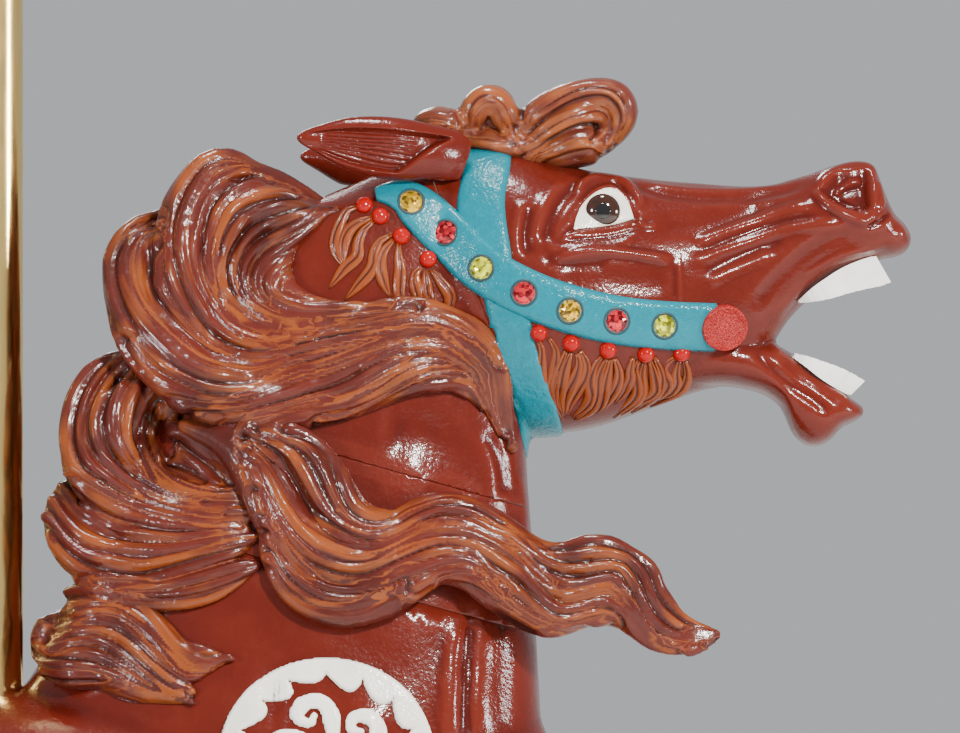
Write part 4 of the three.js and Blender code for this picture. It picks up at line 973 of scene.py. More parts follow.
def combed(shape, lines, hollows=None):
    # Ridges along the lines; also gives how near the crest each point is, and where it lies on its strand
    vertices, faces = shape
    normals = normalsOf(vertices, faces)
    facing = np.clip(np.abs(normals[:, 1]) * gouging["turning"], gouging["least"], 1)
    flat = vertices[:, [0, 2]]
    reach = combing["reach"] * mm
    first, second = np.full(len(flat), reach), np.full(len(flat), reach)
    owner, neighbour = np.zeros(len(flat), int), np.zeros(len(flat), int)
    flow = np.stack([vertices[:, 2], vertices[:, 1] * 0.3, np.zeros(len(flat))], 1)
    for number, line in enumerate(lines):
        curve = smoothCurve(fromPhoto(line, combing["out"]), combing["steps"])
        near = nearLine(flat, curve, reach)
        gap, place = distanceToLine(flat[near], curve)
        closer = gap < first[near]
        following = ~closer & (gap < second[near])
        second[near] = np.where(closer, first[near], np.minimum(second[near], gap))
        neighbour[near] = np.where(closer, owner[near], np.where(following, number, neighbour[near]))
        first[near] = np.where(closer, gap, first[near])
        taken = near[closer]
        owner[taken] = number
        flow[taken, :2] = np.stack([(place * lengthAlong(curve)[-1])[closer], gap[closer]], 1)
    spacing = first + second
    finest, clear = (size * mm for size in combing["finest"])
    room = np.clip((spacing - finest) / (clear - finest), 0, 1)
    place = 0.5 + (2 * first / spacing - 0.5) * room
    # Each strand has a value of its own for its colours, and it passes into the next strand's in the groove
    values = np.arange(len(lines)) * gouging["colourStep"] % 1
    share = 0.5 * (first / second) ** 3
    flow[:, 2] = (values[owner] * (1 - share) + values[neighbour] * share) * room
    # Beyond the outermost strand the skin is plain
    alone = np.clip((first / reach - gouging["plainFrom"]) / gouging["plainOver"], 0, 1)
    place = place * (1 - alone) + gouging["plainAt"] * alone
    # Some grooves are only scratched, so that strands gather into broader locks, and strands differ in height
    draws = np.random.default_rng(combing["seed"])
    grooves = draws.choice(combing["grooves"], (len(lines), len(lines)))
    level = draws.uniform(*combing["levels"], len(lines))[owner] * room
    groove = 0.6 + (np.maximum(grooves, grooves.T)[owner, neighbour] - 0.6) * room
    depth = combing["depth"] * mm * np.clip(spacing / (combing["fullSpacing"] * mm), 0.35, 1)
    cut = 1 - groove * place ** gouging["sharp"]
    lift = depth * (cut + level * (1 - place)) - 0.5 * combing["depth"] * mm
    for outline, hollow, shore in (hollows or {}).values():
        sunk = hollowShare(flat, outline, combing["out"], shore)
        lift -= hollow * mm * sunk
        # Painted shade: inside a hollow the paint is set toward the grooves' dark colour
        place = np.maximum(place, 0.6 * sunk)
    crest = 1 - groove * place ** gouging["paintSharp"]
    return (vertices + normals * (lift * facing)[:, None], faces), crest, flow


def carveMane(tree, name, source, side, finish, nodeName, voxel):
    locks = [barShape(*lockPath(tree, lockSizes[size], line, side), lockSizes[size])
             for size, line in maneLocks.get(name, maneLocks[source])]
    mass = relaxed(remeshed(merged(locks), voxel), combing["smoothing"])
    mass = roughened(mass, combing["waviness"])
    shape, crest, flow = combed(mass, strandLines[source], maneHollows.get(source))
    addPiece(name, relaxed(shape, 1, 0.3), finish, nodeName, ridge=crest, flow=flow)


# Locks that stand free, gouged into strands all round: the spread of the strands' widths and heights, how
# far their edges wander and in how many waves, how sharp the gouges are, and the shares of the length over
# which they set in and die out
freeStrands = {"widths": (0.55, 1.45), "heights": (0.65, 1.0), "wander": 0.12, "waves": (0.8, 2.2),
               "sharp": 1.7, "ends": (0.06, 0.1)}


def strands(lock, u, steps):
    # Height of the gouging, 0 to 1, at each step along and each place u across from -1 to 1
    draws = np.random.default_rng(lock["seed"])
    count = lock["ridges"]
    edges = np.concatenate([[0], np.cumsum(draws.uniform(*freeStrands["widths"], count))])
    edges = -1 + 2 * edges / edges[-1]
    levels = draws.uniform(*freeStrands["heights"], count)
    phase, pace = draws.uniform(0, 6.3, count + 1), draws.uniform(*freeStrands["waves"], count + 1)
    share = np.linspace(0, 1, steps + 1)[:, None]
    sway = freeStrands["wander"] * np.sin(2 * math.pi * pace * share + phase)
    wander = edges + sway * (1 - edges**2)
    rows = []
    for row in np.sort(wander, 1):
        k = np.clip(np.searchsorted(row, u) - 1, 0, count - 1)
        t = np.clip((u - row[k]) / np.maximum(row[k + 1] - row[k], 1e-6), 0, 1)
        rows.append(levels[k] * (1 - np.abs(2 * t - 1) ** freeStrands["sharp"]))
    return np.array(rows)


def lockShape(points, outward, lock):
    steps = len(points) - 1
    halfWidth, thick = halfSizes(lock, steps)
    sides = 8 * lock["ridges"] + 4
    angle = np.linspace(0, 2 * math.pi, 2 * sides, endpoint=False)
    turn = angle / math.pi % 2
    # Points are spread evenly across the width, with a few more at the edges
    u = np.cos(angle) * 0.6 + np.where(turn < 1, 1 - 2 * turn, 2 * turn - 3) * 0.4
    v = np.sqrt(np.clip(1 - u**2, 0, 1)) * np.where(turn <= 1, 1, -1)
    share = np.linspace(0, 1, steps + 1)
    flute = strands(lock, u, steps)
    start, end = freeStrands["ends"]
    grow = np.clip(np.minimum(share / start, (1 - share) / end), 0, 1)[:, None]
    depth = lock["depth"] * mm * grow * np.abs(v) ** 0.3
    height = np.sign(v) * (thick * np.abs(v) ** 0.7 + depth * (flute - 0.7))
    relief = np.concatenate([flute.ravel(), [0.5, 0.5]])
    strand = np.round((u + 1) * lock["ridges"] / 2 + lock["seed"])
    flow = np.stack([np.repeat(lengthAlong(points), len(u)), (halfWidth * u).ravel(),
                     np.tile(strand, steps + 1)], 1)
    shape = swept(points, *lockFrame(points, outward), halfWidth * u, height)
    return shape, relief, np.vstack([flow, flow[:1], flow[-1:]])


tailHair = {"width": [40, 66, 74, 60, 8], "thick": [34, 58, 62, 50, 10], "ridges": 6, "depth": 8,
            "steps": 90}
# x, z and distance out, in mm
tailLocks = [
    {**tailHair, "seed": 71, "path": [(-556, 912, 0), (-606, 934, 4), (-662, 906, 10), (-694, 838, 16),
                                      (-690, 752, 20), (-668, 672, 20), (-680, 592, 16), (-728, 532, 10)]},
    {**tailHair, "seed": 72, "path": [(-560, 900, 0), (-604, 904, -8), (-646, 866, -18), (-660, 790, -24),
                                      (-646, 700, -24), (-636, 624, -20), (-664, 556, -14)]},
    {**tailHair, "seed": 73, "path": [(-600, 932, 2), (-668, 930, 0), (-720, 870, -6), (-732, 782, -8),
                                      (-708, 700, -6), (-714, 624, -4), (-764, 574, 0)]},
]
# Orange tufts that hang from the beads, each strand with its own line
wisp = {"width": [4, 9, 12, 10, 2], "thick": [4, 6, 7, 5, 2], "ridges": 2, "depth": 1.5, "steps": 14,
        "lift": 0, "seed": 80}
wispLines = [
    [(358, 207), (345, 213), (335, 243), (338, 258), (344, 266)],
    [(372, 217), (357, 223), (347, 233), (343, 248), (344, 265)],
    [(373, 221), (363, 231), (358, 243), (357, 257), (343, 270), (329, 288)],
    [(391, 235), (380, 241), (374, 252), (373, 265), (366, 277), (345, 300)],
    [(393, 240), (383, 252), (380, 266), (384, 284), (390, 297)],
    [(398, 243), (398, 257), (400, 270), (399, 297), (409, 308)],
    [(421, 267), (415, 276), (418, 298), (424, 303)],
    [(425, 270), (427, 293), (434, 305)],
    [(431, 269), (449, 294), (449, 306), (451, 319)],
    [(538, 340), (542, 352), (542, 385), (553, 415)],
    [(549, 338), (556, 350), (555, 363), (550, 396), (554, 412), (561, 420)],
    [(566, 350), (555, 379), (554, 396), (563, 419)],
    [(571, 352), (562, 385), (561, 401), (564, 414)],
    [(577, 353), (579, 367), (567, 398), (565, 415)],
    [(580, 350), (586, 363), (584, 376), (571, 402), (568, 415)],
    [(602, 356), (594, 366), (590, 381), (591, 396), (584, 409), (573, 418)],
    [(607, 358), (600, 374), (595, 404), (585, 415), (575, 420)],
    [(611, 359), (602, 404), (594, 414)],
    [(615, 358), (619, 372), (616, 387), (603, 411)],
    [(633, 357), (630, 370), (630, 380), (616, 404)],
    [(639, 360), (635, 370), (638, 383), (636, 396), (615, 418)],
    [(645, 361), (643, 374), (641, 396), (622, 415)],
    [(650, 360), (656, 384), (652, 394), (632, 408)],
    [(655, 357), (661, 370), (662, 383), (656, 395), (633, 413)],
    [(675, 357), (666, 364), (664, 372), (669, 383), (663, 394), (650, 402)],
    [(680, 360), (676, 374), (677, 383), (672, 392), (660, 399)],
    [(685, 359), (689, 372), (687, 383), (679, 392), (652, 407)],
]


def tailLock(lock):
    x, z, out = smoothCurve(lock["path"], lock["steps"]).T * mm
    points = np.stack([x, -out, z], 1)
    side = np.array([0, 1, 0]) * (-1.0 if points[:, 1].mean() < 0 else 1.0)
    outward = np.tile(side, (len(points), 1)) + 0.6 * np.cross(unit(np.gradient(points, axis=0)), [0, 1, 0])
    return lockShape(points, outward, lock)


def hairPiece(name, locks, finish, *nodes):
    shapes, reliefs, flows = zip(*locks)
    addPiece(name, merged(shapes), finish, *nodes, ridge=np.concatenate(reliefs), flow=np.vstack(flows))


# Straps: bands laid on the carved surface
def bandShape(rows, thickness, bury=1.5):
    # Each row is where the rays across the band met the surface. A ray that missed takes the one before it,
    # and a row whose first ray missed is left out.
    hits = []
    for row in rows:
        if row[0]:
            hits.append([row[0]])
            for hit in row[1:]:
                hits[-1].append(hit or hits[-1][-1])
    places, normals = (averaged(np.array([[pair[k] for pair in row] for row in hits]), 3) for k in (0, 1))
    normals = unit(normals)
    u = np.linspace(-1, 1, places.shape[1])
    edge = 0.3 + 0.7 * (1 - np.abs(u) ** 7) ** 0.5
    top = places + normals * (thickness * mm * edge)[None, :, None]
    under = places - normals * bury * mm
    return closedTube(np.concatenate([top, under[:, ::-1]], 1))


def sideStrap(tree, line, widths, thickness, side, steps=110, columns=15):
    curve = smoothCurve(line, steps)
    run = unit(np.gradient(curve, axis=0))
    across = np.stack([-run[:, 1], run[:, 0]], 1) * along(widths, steps)[:, None] / 2 * mm
    places = curve[:, None] + across[:, None] * np.linspace(-1, 1, columns)[None, :, None]
    return bandShape([[sideHit(tree, x, z, side) for x, z in row] for row in places], thickness)


def wrapStrap(tree, keys, width, thickness, tilt=0.0, steps=130, columns=13, axis="x"):
    # keys: place along the axis in mm, angle in degrees and centre height in mm. 0 degrees is the right side
    # and 90 is on top, or in front for a band that goes round the chest. tilt leans the band's plane.
    curve = smoothCurve(np.array(keys) * np.array([1, 0.5, 1]), steps) * np.array([1, 2, 1])
    rows = []
    for place, degrees, centre in curve:
        out, rise = -math.cos(math.radians(degrees)), math.sin(math.radians(degrees))
        row = []
        for u in np.linspace(-1, 1, columns):
            offset = (place + u * width / 2) * mm
            if axis == "x":
                target = (offset, 0, centre * mm)
                origin = (offset + 0.5 * rise * tilt, 0.5 * out, centre * mm + 0.5 * rise)
            else:
                target = (centre * mm, 0, offset)
                origin = (centre * mm + 0.6 * rise, 0.6 * out, offset)
            row.append(inwardHit(tree, origin, target))
        rows.append(row)
    return bandShape(rows, thickness)


bridle = {
    "thickness": 5.6, "underThickness": 2.6, "crownWidth": 38, "throatWidth": 34,
    "strapWidth": [8, 32, 38, 38, 38, 38, 38, 38, 38, 38, 38],
    "cheekLine": [(376, 196), (392, 195), (410, 201), (445, 232), (481, 267), (524, 292), (570, 309),
                  (617, 320), (665, 325), (716, 327)],
    "crownKeys": [(401, -8, 1290), (398, 4, 1290), (396, 16, 1290), (392.5, 34, 1290), (392, 48, 1290),
                  (396, 66, 1290), (397, 90, 1290), (396, 114, 1290), (392, 132, 1290), (392.5, 146, 1290),
                  (396, 164, 1290), (398, 176, 1290), (401, 188, 1290)],
    "throatKeys": [(419, 26, 1240), (418, 14, 1240), (416, 0, 1240), (417, -12, 1240), (419, -28, 1240),
                   (421, -46, 1240), (422, -66, 1240), (422, -90, 1240), (422, -114, 1240),
                   (421, -134, 1240), (419, -152, 1240), (417, -168, 1240), (416, -180, 1240),
                   (418, -194, 1240), (419, -206, 1240)],
    "throatTilt": -0.24,
    "rosette": (724, 326), "rosetteRadius": 18.5,
    "rosetteProfile": [(1, -2), (1, 7.2), (0.97, 8.3), (0.91, 8.5), (0.85, 7.4), (0.5, 8.0), (0.05, 8.2)],
    "jewels": [((411, 201), "amber"), ((445, 232), "ruby"), ((481, 268), "green"), ((524, 293), "ruby"),
               ((570, 311), "amber"), ((617, 321), "ruby"), ((665, 326), "green")],
    # the ring a jewel sits in: distance out from its radius and height, in mm
    "settingRing": [(1.4, -3), (1.4, 0.2), (-0.4, 0.3), (-0.4, -3)],
    # the cut of a jewel: share of its radius, height in mm and turn in facets
    "jewelRadius": 9.6, "jewelSides": 12, "jewelDepth": 1.6, "beadRadius": 6.9,
    "jewelCut": [(1.0, -1.5, 0), (1.0, 1.2, 0), (0.76, 3.0, 0.5), (0.46, 4.4, 0), (0.2, 4.8, 0.5)],
    "beads": [(364, 205), (380, 216), (401, 236), (428, 259), (539, 333), (571, 343), (608, 350),
              (646, 354), (682, 353)],
}


def turnedShape(profile, place, normal, sides=48):
    # A profile of radius and height in mm, spun round the normal. A third number turns its ring by so
    # many sides.
    normal = unit(np.asarray(normal, float))
    u = unit(np.cross([0, 0, 1] if abs(normal[2]) < 0.9 else [1, 0, 0], normal))
    v = np.cross(normal, u)
    rings = []
    for radius, height, *turn in profile:
        angle = (np.arange(sides) + sum(turn)) * 2 * math.pi / sides
        ring = np.cos(angle)[:, None] * u + np.sin(angle)[:, None] * v
        rings.append(place + (ring * radius + normal * height) * mm)
    return closedTube(np.array(rings))


def jewelShape(place, normal):
    # Rose cut, with flat facets between rings that are turned against each other
    cut = [(bridle["jewelRadius"] * size, height, turn) for size, height, turn in bridle["jewelCut"]]
    return turnedShape(cut, place, normal, bridle["jewelSides"])


def beadShape(place, normal):
    radius = bridle["beadRadius"]
    profile = [(radius * math.sin(a), 1.0 + radius * 0.85 * -math.cos(a)) for a in np.linspace(0.15, 3.0, 14)]
    return turnedShape(profile, place, normal, 22)


def placeOnSide(tree, pixel, side, out=80, spread=7):
    # The middle of several rays round the spot, so that a glue joint under it doesn't matter
    x, z = fromPhoto([pixel], out)[0]
    hits = [sideHit(tree, x + a * spread * mm, z + b * spread * mm, side)
            for a, b in ((-1, -1), (1, -1), (1, 1), (-1, 1), (0, 1), (0, -1), (1, 0), (-1, 0))]
    depth = np.median([hit[0][1] for hit in hits])
    normal = np.median([hit[1] for hit in hits], axis=0)
    return np.array([x, depth, z]), normal / np.linalg.norm(normal)


# Ears: the open face is dished behind a rim and cut with fine lines that run from root to tip
ear = {
    # root to tip: x, z, distance out, half width, half thickness, in mm
    "rows": [[379, 1380, 41, 16, 5], [368, 1384, 45, 20.5, 10], [352, 1387, 50, 22, 14],
             [330, 1389, 54, 24.5, 15], [306, 1391.5, 58, 24, 13], [282, 1394.5, 61, 19.5, 10],
             [262, 1397, 63.5, 11, 7], [250, 1398, 64, 5, 4], [246, 1398.5, 64, 1.5, 1.5]],
    # the left ear droops more: by how much at its tip, from which x and over what length, in mm
    "droop": 12, "droopFrom": 352, "droopOver": 70,
    "rim": 0.7, "dish": 8.5, "lines": 9, "lineDepth": 2.4, "facePoints": 110, "backPoints": 24,
    # where the dish and its lines start and end, in shares of the length, each with the share it fades over
    "crease": (0.24, 0.03), "slant": 0.19, "dishEnd": (0.96, 0.12), "linesFrom": (0.3, 0.08),
    "linesEnd": (0.86, 0.1),
}


def window(share, start, end):
    # 1 between start and end, each of them a place and the length it fades over
    (low, rise), (high, fall) = start, end
    return np.clip((share - low) / rise, 0, 1) * np.clip((high - share) / fall, 0, 1)


def earShape(side):
    rows = smoothCurve(ear["rows"], 100) * mm
    if side == left:
        drooping = (ear["droopFrom"] * mm - rows[:, 0]) / (ear["droopOver"] * mm)
        rows[:, 1] -= ear["droop"] * mm * np.clip(drooping, 0, 1)
    spine = np.stack([rows[:, 0], side * rows[:, 2], rows[:, 1]], 1)
    run = unit(np.gradient(spine, axis=0))
    up = unit(np.array([0, 0, 1]) - run[:, 2:3] * run)
    outward = np.cross(run, up)
    outward *= np.sign(outward[:, 1:2]) * side
    # The open face has more points than the back
    angle = np.concatenate([np.linspace(0, math.pi, ear["facePoints"], endpoint=False),
                            np.linspace(math.pi, 2 * math.pi, ear["backPoints"], endpoint=False)])
    wide, thick = np.cos(angle), np.sin(angle)
    share = np.linspace(0, 1, len(rows))[:, None]
    across = (wide[None, :] + 0.1 * np.clip(share * 3, 0, 1)) / ear["rim"]
    inside = np.clip((1 - np.abs(across)) / 0.22, 0, 1) ** 0.6
    sway = across + 0.06 * np.sin(9 * share + 4 * across)
    lines = np.abs(np.sin(math.pi * ear["lines"] * (sway + 1) / 2)) ** 0.8
    # The face ends at a slanting crease above the flat block at the ear's root
    place, soft = ear["crease"]
    crease = window(share, (place - ear["slant"] * wide, soft), ear["dishEnd"])
    fine = window(share, ear["linesFrom"], ear["linesEnd"]) * np.clip(1.15 - np.abs(across), 0, 1)
    dish = np.where(thick > 0, inside * (ear["dish"] - ear["lineDepth"] * fine * lines) * crease, 0) * mm
    height = rows[:, 4:5] * thick[None, :] - dish * np.clip(rows[:, 4:5] / (12 * mm), 0.3, 1)
    return swept(spine, up, outward, rows[:, 3:4] * wide, height)


# Eye: a white almond set in the head with a brown glass ball in it
eyePlace = {
    "almond": [(568, 233), (577, 214), (590, 197), (606, 188), (619, 191), (628, 203), (633, 218),
               (618, 223), (600, 227), (583, 230)],
    "centre": (603, 211), "radius": 14.0, "bulge": 7.5, "pupil": 6.2, "rise": 2.8, "out": 66,
    # the white swells in from its rim: share of its size and height in mm
    "swell": [(1.04, -6), (1.04, 0.9), (0.92, 2.1), (0.7, 3.1), (0.45, 3.8), (0.15, 4.2)],
    # its two corners are the first point and this one
    "corner": 6,
}


def almondShape(tree, side):
    outline = fromPhoto(eyePlace["almond"] + eyePlace["almond"][:1], eyePlace["out"])
    corner = eyePlace["corner"]
    rim = np.vstack([smoothCurve(lid, 16)[:-1] for lid in (outline[:corner + 1], outline[corner:])])
    centre = fromPhoto([eyePlace["centre"]], eyePlace["out"])[0]
    base = sideHit(tree, *centre, side)[0][1]
    rings = []
    for size, height in eyePlace["swell"]:
        ring = centre + (rim - centre) * size
        hits = [sideHit(tree, x, z, side) for x, z in ring]
        depth = np.array([hit[0][1] if hit else base for hit in hits])
        depth = depth * 0.75 + base * 0.25 + side * (height + 0.3) * mm
        rings.append(np.stack([ring[:, 0], depth, ring[:, 1]], 1))
    return closedTube(np.array(rings)), base


# Teeth: an arched row in each jaw, cut by fine lines. Rows are in photo pixels: x and y on the gum, then
# x and y on the biting edge.
teethForms = {
    "upper": {"rows": [(798, 301, 799, 303), (812, 288, 815, 301.5), (826, 278, 831, 298.5),
                       (842, 268, 848, 293.5), (858, 261, 866, 289), (870, 257, 881, 286),
                       (877, 256, 892, 282)],
              "half": [30, 40, 42, 40, 34, 29, 24]},
    "lower": {"rows": [(794, 358, 795, 353), (806, 367, 811, 357), (820, 378, 827, 362.5),
                       (834, 387, 843, 368.5),
                       (846, 393.5, 856, 375), (852, 395, 866, 381)], "half": [30, 37, 38, 34, 28, 22]},
    "toothWidth": 8.5, "out": 40,
}


def teethShape(form, steps=60, columns=45):
    rows = np.array(form["rows"], float)
    gum, bite = (smoothCurve(fromPhoto(rows[:, k:k + 2], teethForms["out"]), steps) for k in (0, 2))
    half = along(form["half"], steps)
    y = np.linspace(-1, 1, columns)

    def gaps(places):
        # 1 in the middle of each line between teeth, for places in mm
        return np.clip(1 - np.abs((places / teethForms["toothWidth"]) % 1 - 0.5) * 9, 0, 1)

    groove = gaps(lengthAlong(bite) / mm)
    across = gaps(y[None, :] * half[:, None])
    rings = []
    for i in range(steps + 1):
        out = y * (half[i] - 0.7 * groove[i]) * mm
        front = across[i] * (0.9 if i > steps - 8 else 0.25) * mm
        inward = (gum[i] - bite[i]) / max(np.linalg.norm(gum[i] - bite[i]), 1e-6)
        low = bite[i] + inward * (0.6 * groove[i] * mm + front)[:, None]
        high = np.repeat(gum[i][None, :], columns, 0)
        lower, upper = (np.stack([row[:, 0], out, row[:, 1]], 1) for row in (low, high))
        rings.append(np.vstack([lower, upper[::-1]]))
    return closedTube(np.array(rings))


# Materials
def fill(tree, made, values):
    # Values straight on a node's own sockets, or links to them
    for key, value in values.items():
        if isinstance(value, bpy.types.NodeSocket):
            tree.links.new(value, made.inputs[key])
        else:
            made.inputs[key].default_value = value


def newMaterial(name):
    material = bpy.data.materials.new(name)
    material.use_nodes = True
    tree = material.node_tree
    return material, tree, tree.nodes["Principled BSDF"]


def node(tree, kind, values=None, **settings):
    made = tree.nodes.new(kind)
    for key, value in settings.items():
        setattr(made, key, value)
    fill(tree, made, values or {})
    return made


def calculated(tree, operation, *values):
    return node(tree, "ShaderNodeMath", dict(enumerate(values)), operation=operation).outputs[0]


def attribute(tree, name, output="Fac"):
    return node(tree, "ShaderNodeAttribute", attribute_name=name).outputs[output]


def mixColor(tree, factor, a, b):
    a, b = (value if isinstance(value, bpy.types.NodeSocket) else (*value, 1) for value in (a, b))
    return node(tree, "ShaderNodeMix", {0: factor, 6: a, 7: b}, data_type="RGBA").outputs[2]


def spread(tree, value, low, high, newLow=0.0, newHigh=1.0):
    limits = {"From Min": low, "From Max": high, "To Min": newLow, "To Max": newHigh}
    return node(tree, "ShaderNodeMapRange", {"Value": value, **limits}).outputs["Result"]


def objectNoise(tree, scale, detail=4, stretch=(1, 1, 1), roughness=0.55):
    coordinates = node(tree, "ShaderNodeTexCoord").outputs["Object"]
    mapped = node(tree, "ShaderNodeMapping", {"Vector": coordinates, "Scale": stretch}).outputs["Vector"]
    return node(tree, "ShaderNodeTexNoise", {"Vector": mapped, "Scale": scale, "Detail": detail,
                                             "Roughness": roughness}).outputs["Fac"]


def agedPaintAndShadeGroup():
    # Uneven colour, brush marks, small chips, painted shade with dirt in the grooves and a painted highlight
    # on raised carving, shared by every painted finish
    group = bpy.data.node_groups.new("agedPaintAndShade", "ShaderNodeTree")
    inputs = {"Paint": (0.5, 0.1, 0.05, 1), "Shadow": (0.1, 0.02, 0.01, 1), "Highlight": (0.7, 0.3, 0.2, 1),
              "Relief": 0.0, "Blotch": 6.0, "Brush": 60.0, "Shine": 0.25, "Chips": 0.0}
    for name, default in inputs.items():
        kind = "NodeSocketFloat" if isinstance(default, float) else "NodeSocketColor"
        group.interface.new_socket(name, in_out="INPUT", socket_type=kind).default_value = default
    for name, kind in (("Color", "Color"), ("Roughness", "Float"), ("Height", "Float")):
        group.interface.new_socket(name, in_out="OUTPUT", socket_type="NodeSocket" + kind)
    given = group.nodes.new("NodeGroupInput").outputs
    relief = given["Relief"]
    blotch, brush, dirt, flakes = (
        objectNoise(group, scale, detail, roughness=0.6)
        for scale, detail in ((given["Blotch"], 5), (given["Brush"], 3), (330, 2), (46, 6)))
    tone = mixColor(group, spread(group, blotch, 0.35, 0.75, 0.0, 0.5), given["Paint"], given["Shadow"])
    tone = mixColor(group, spread(group, brush, 0.5, 0.8, 0.0, 0.35), tone, given["Highlight"])
    # Painted highlight: raised carving is lightened by its relief
    tone = mixColor(group, spread(group, relief, 0.05, 0.5, 0.0, 0.4), tone, given["Highlight"])
    # Painted shade, with dirt: grooves are darkened by their relief
    tone = mixColor(group, spread(group, relief, -0.05, -0.6, 0.0, 0.8), tone, given["Shadow"])
    chip = calculated(group, "MULTIPLY", spread(group, flakes, 0.735, 0.75), given["Chips"])
    tone = mixColor(group, chip, tone, (0.16, 0.06, 0.03))
    rough = calculated(group, "ADD", spread(group, dirt, 0.3, 0.7, -0.04, 0.1), given["Shine"])
    rough = calculated(group, "ADD", spread(group, blotch, 0.4, 0.7, 0.0, 0.08), rough)
    height = calculated(group, "MULTIPLY_ADD", dirt, 0.55, brush)
    fill(group, group.nodes.new("NodeGroupOutput"), {"Color": tone, "Roughness": rough, "Height": height})
    return group


def varnish(tree, shader, color, roughness, height, bump, specular, coat):
    # A fine bump under a clear coat
    bumped = node(tree, "ShaderNodeBump", {"Height": height, "Strength": bump, "Distance": 0.0012})
    normal = bumped.outputs["Normal"]
    fill(tree, shader, {"Base Color": color, "Roughness": roughness, "Normal": normal, "Coat Normal": normal,
                        "Specular IOR Level": specular, "Coat Weight": coat, "Coat Roughness": 0.1})


def paintMaterial(name, group, colors, shine, blotch, brush, bump, chips=0.0, trim=None):
    material, tree, shader = newMaterial(name)
    if trim:
        # A painted border: its distance in from the edge is kept on the mesh in mm
        edge, soft = attribute(tree, "edge"), trim["soft"]
        border = calculated(tree, "MULTIPLY", spread(tree, edge, trim["from"] - soft, trim["from"]),
                            spread(tree, edge, trim["to"] + soft, trim["to"]))
        colors = [mixColor(tree, border, color, other) for color, other in zip(colors, trim["colors"])]
    else:
        colors = [(*color, 1) for color in colors]
    agedAndShaded = node(tree, "ShaderNodeGroup", {
        **dict(zip(("Paint", "Shadow", "Highlight"), colors)), "Relief": attribute(tree, "relief"),
        "Shine": shine, "Blotch": blotch, "Brush": brush, "Chips": chips}, node_tree=group).outputs
    varnish(tree, shader, agedAndShaded["Color"], agedAndShaded["Roughness"], agedAndShaded["Height"], bump, 0.1, 0.38)
    return material


def hairMaterial(name, mid, dark, ochre, dull, share):
    # Red-brown under varnish, with ochre combed along some of the strands, and dirt with painted shade dark
    # in the grooves
    material, tree, shader = newMaterial(name)
    ridge, flow = attribute(tree, "ridge"), attribute(tree, "flow", "Vector")

    def combedNoise(stretch, detail):
        place = node(tree, "ShaderNodeMapping", {"Vector": flow, "Scale": stretch}).outputs["Vector"]
        noise = node(tree, "ShaderNodeTexNoise", {"Vector": place, "Scale": 1.0, "Detail": detail})
        return noise.outputs["Fac"]

    patches, streaks = combedNoise((14, 60, 5.3), 2), combedNoise((24, 420, 3.7), 3)
    base = mixColor(tree, spread(tree, objectNoise(tree, 16, 4), 0.35, 0.7), mid, dark)
    lit = calculated(tree, "MULTIPLY", spread(tree, ridge, 0.12, 0.55), spread(tree, patches, *share))
    lit = calculated(tree, "MULTIPLY", lit, spread(tree, streaks, 0.3, 0.6, 0.45, 1.0))
    tone = mixColor(tree, lit, base, mixColor(tree, spread(tree, streaks, 0.35, 0.65), ochre, dull))
    # Painted shade, with dirt: the grooves between strands go near black
    tone = mixColor(tree, spread(tree, ridge, 0.45, 0.05, 0.0, 0.92), tone, (0.016, 0.002, 0.001))
    tone = mixColor(tree, spread(tree, objectNoise(tree, 30, 6), 0.74, 0.755), tone, (0.02, 0.017, 0.015))
    height = calculated(tree, "MULTIPLY_ADD", objectNoise(tree, 330, 2), 0.4, streaks)
    varnish(tree, shader, tone, spread(tree, streaks, 0.3, 0.7, 0.24, 0.42), height, 0.4, 0.12, 0.42)
    return material


def plainMaterial(name, color, roughness, coat=0.0, noise=0.0, scale=120):
    material, tree, shader = newMaterial(name)
    values = {"Base Color": (*color, 1), "Roughness": roughness, "Coat Weight": coat}
    if noise:
        grain = objectNoise(tree, scale, 3)
        darker = [c * (1 - noise) for c in color]
        values["Base Color"] = mixColor(tree, spread(tree, grain, 0.35, 0.7), color, darker)
        values["Roughness"] = spread(tree, grain, 0.3, 0.7, max(roughness - 0.05, 0.02), roughness + 0.08)
    fill(tree, shader, values)
    return material


def glassMaterial(name, color):
    # Foiled glass with painted reflections: each facet gets its own painted brightness, from a dark to a
    # bright tint, standing in for the light it reflects
    material, tree, shader = newMaterial(name)
    place = node(tree, "ShaderNodeTexCoord").outputs["Object"]
    facets = node(tree, "ShaderNodeTexVoronoi", {"Vector": place, "Scale": 330}).outputs["Color"]
    glintTint = [min(1, c * 1.15 + 0.02) for c in color]
    dark = [c * 0.18 for c in color]
    fill(tree, shader, {"Base Color": mixColor(tree, spread(tree, facets, 0.3, 0.7), dark, glintTint),
                        "Roughness": 0.06, "Metallic": 0.55, "Coat Weight": 0.5})
    return material


def glitterMaterial():
    material, tree, shader = newMaterial("redGlitter")
    place = node(tree, "ShaderNodeTexCoord").outputs["Object"]
    flakes = node(tree, "ShaderNodeTexVoronoi", {"Vector": place, "Scale": 900}).outputs
    tint = mixColor(tree, spread(tree, flakes["Color"], 0.2, 0.9), (0.22, 0.003, 0.003), (0.42, 0.03, 0.024))
    bumped = node(tree, "ShaderNodeBump", {"Height": flakes["Distance"], "Strength": 0.8, "Distance": 0.001})
    fill(tree, shader, {"Base Color": tint, "Normal": bumped.outputs["Normal"], "Roughness": 0.3,
                        "Specular IOR Level": 0.25})
    return material


def brassMaterial():
    material, tree, shader = newMaterial("polishedBrass")
    grain = objectNoise(tree, 30, 4, (6, 6, 1))
    tint = mixColor(tree, spread(tree, grain, 0.35, 0.7), (1.0, 0.74, 0.28), (0.88, 0.58, 0.18))
    fill(tree, shader, {"Base Color": tint, "Roughness": spread(tree, grain, 0.3, 0.7, 0.16, 0.26),
                        "Metallic": 1.0})
    return material


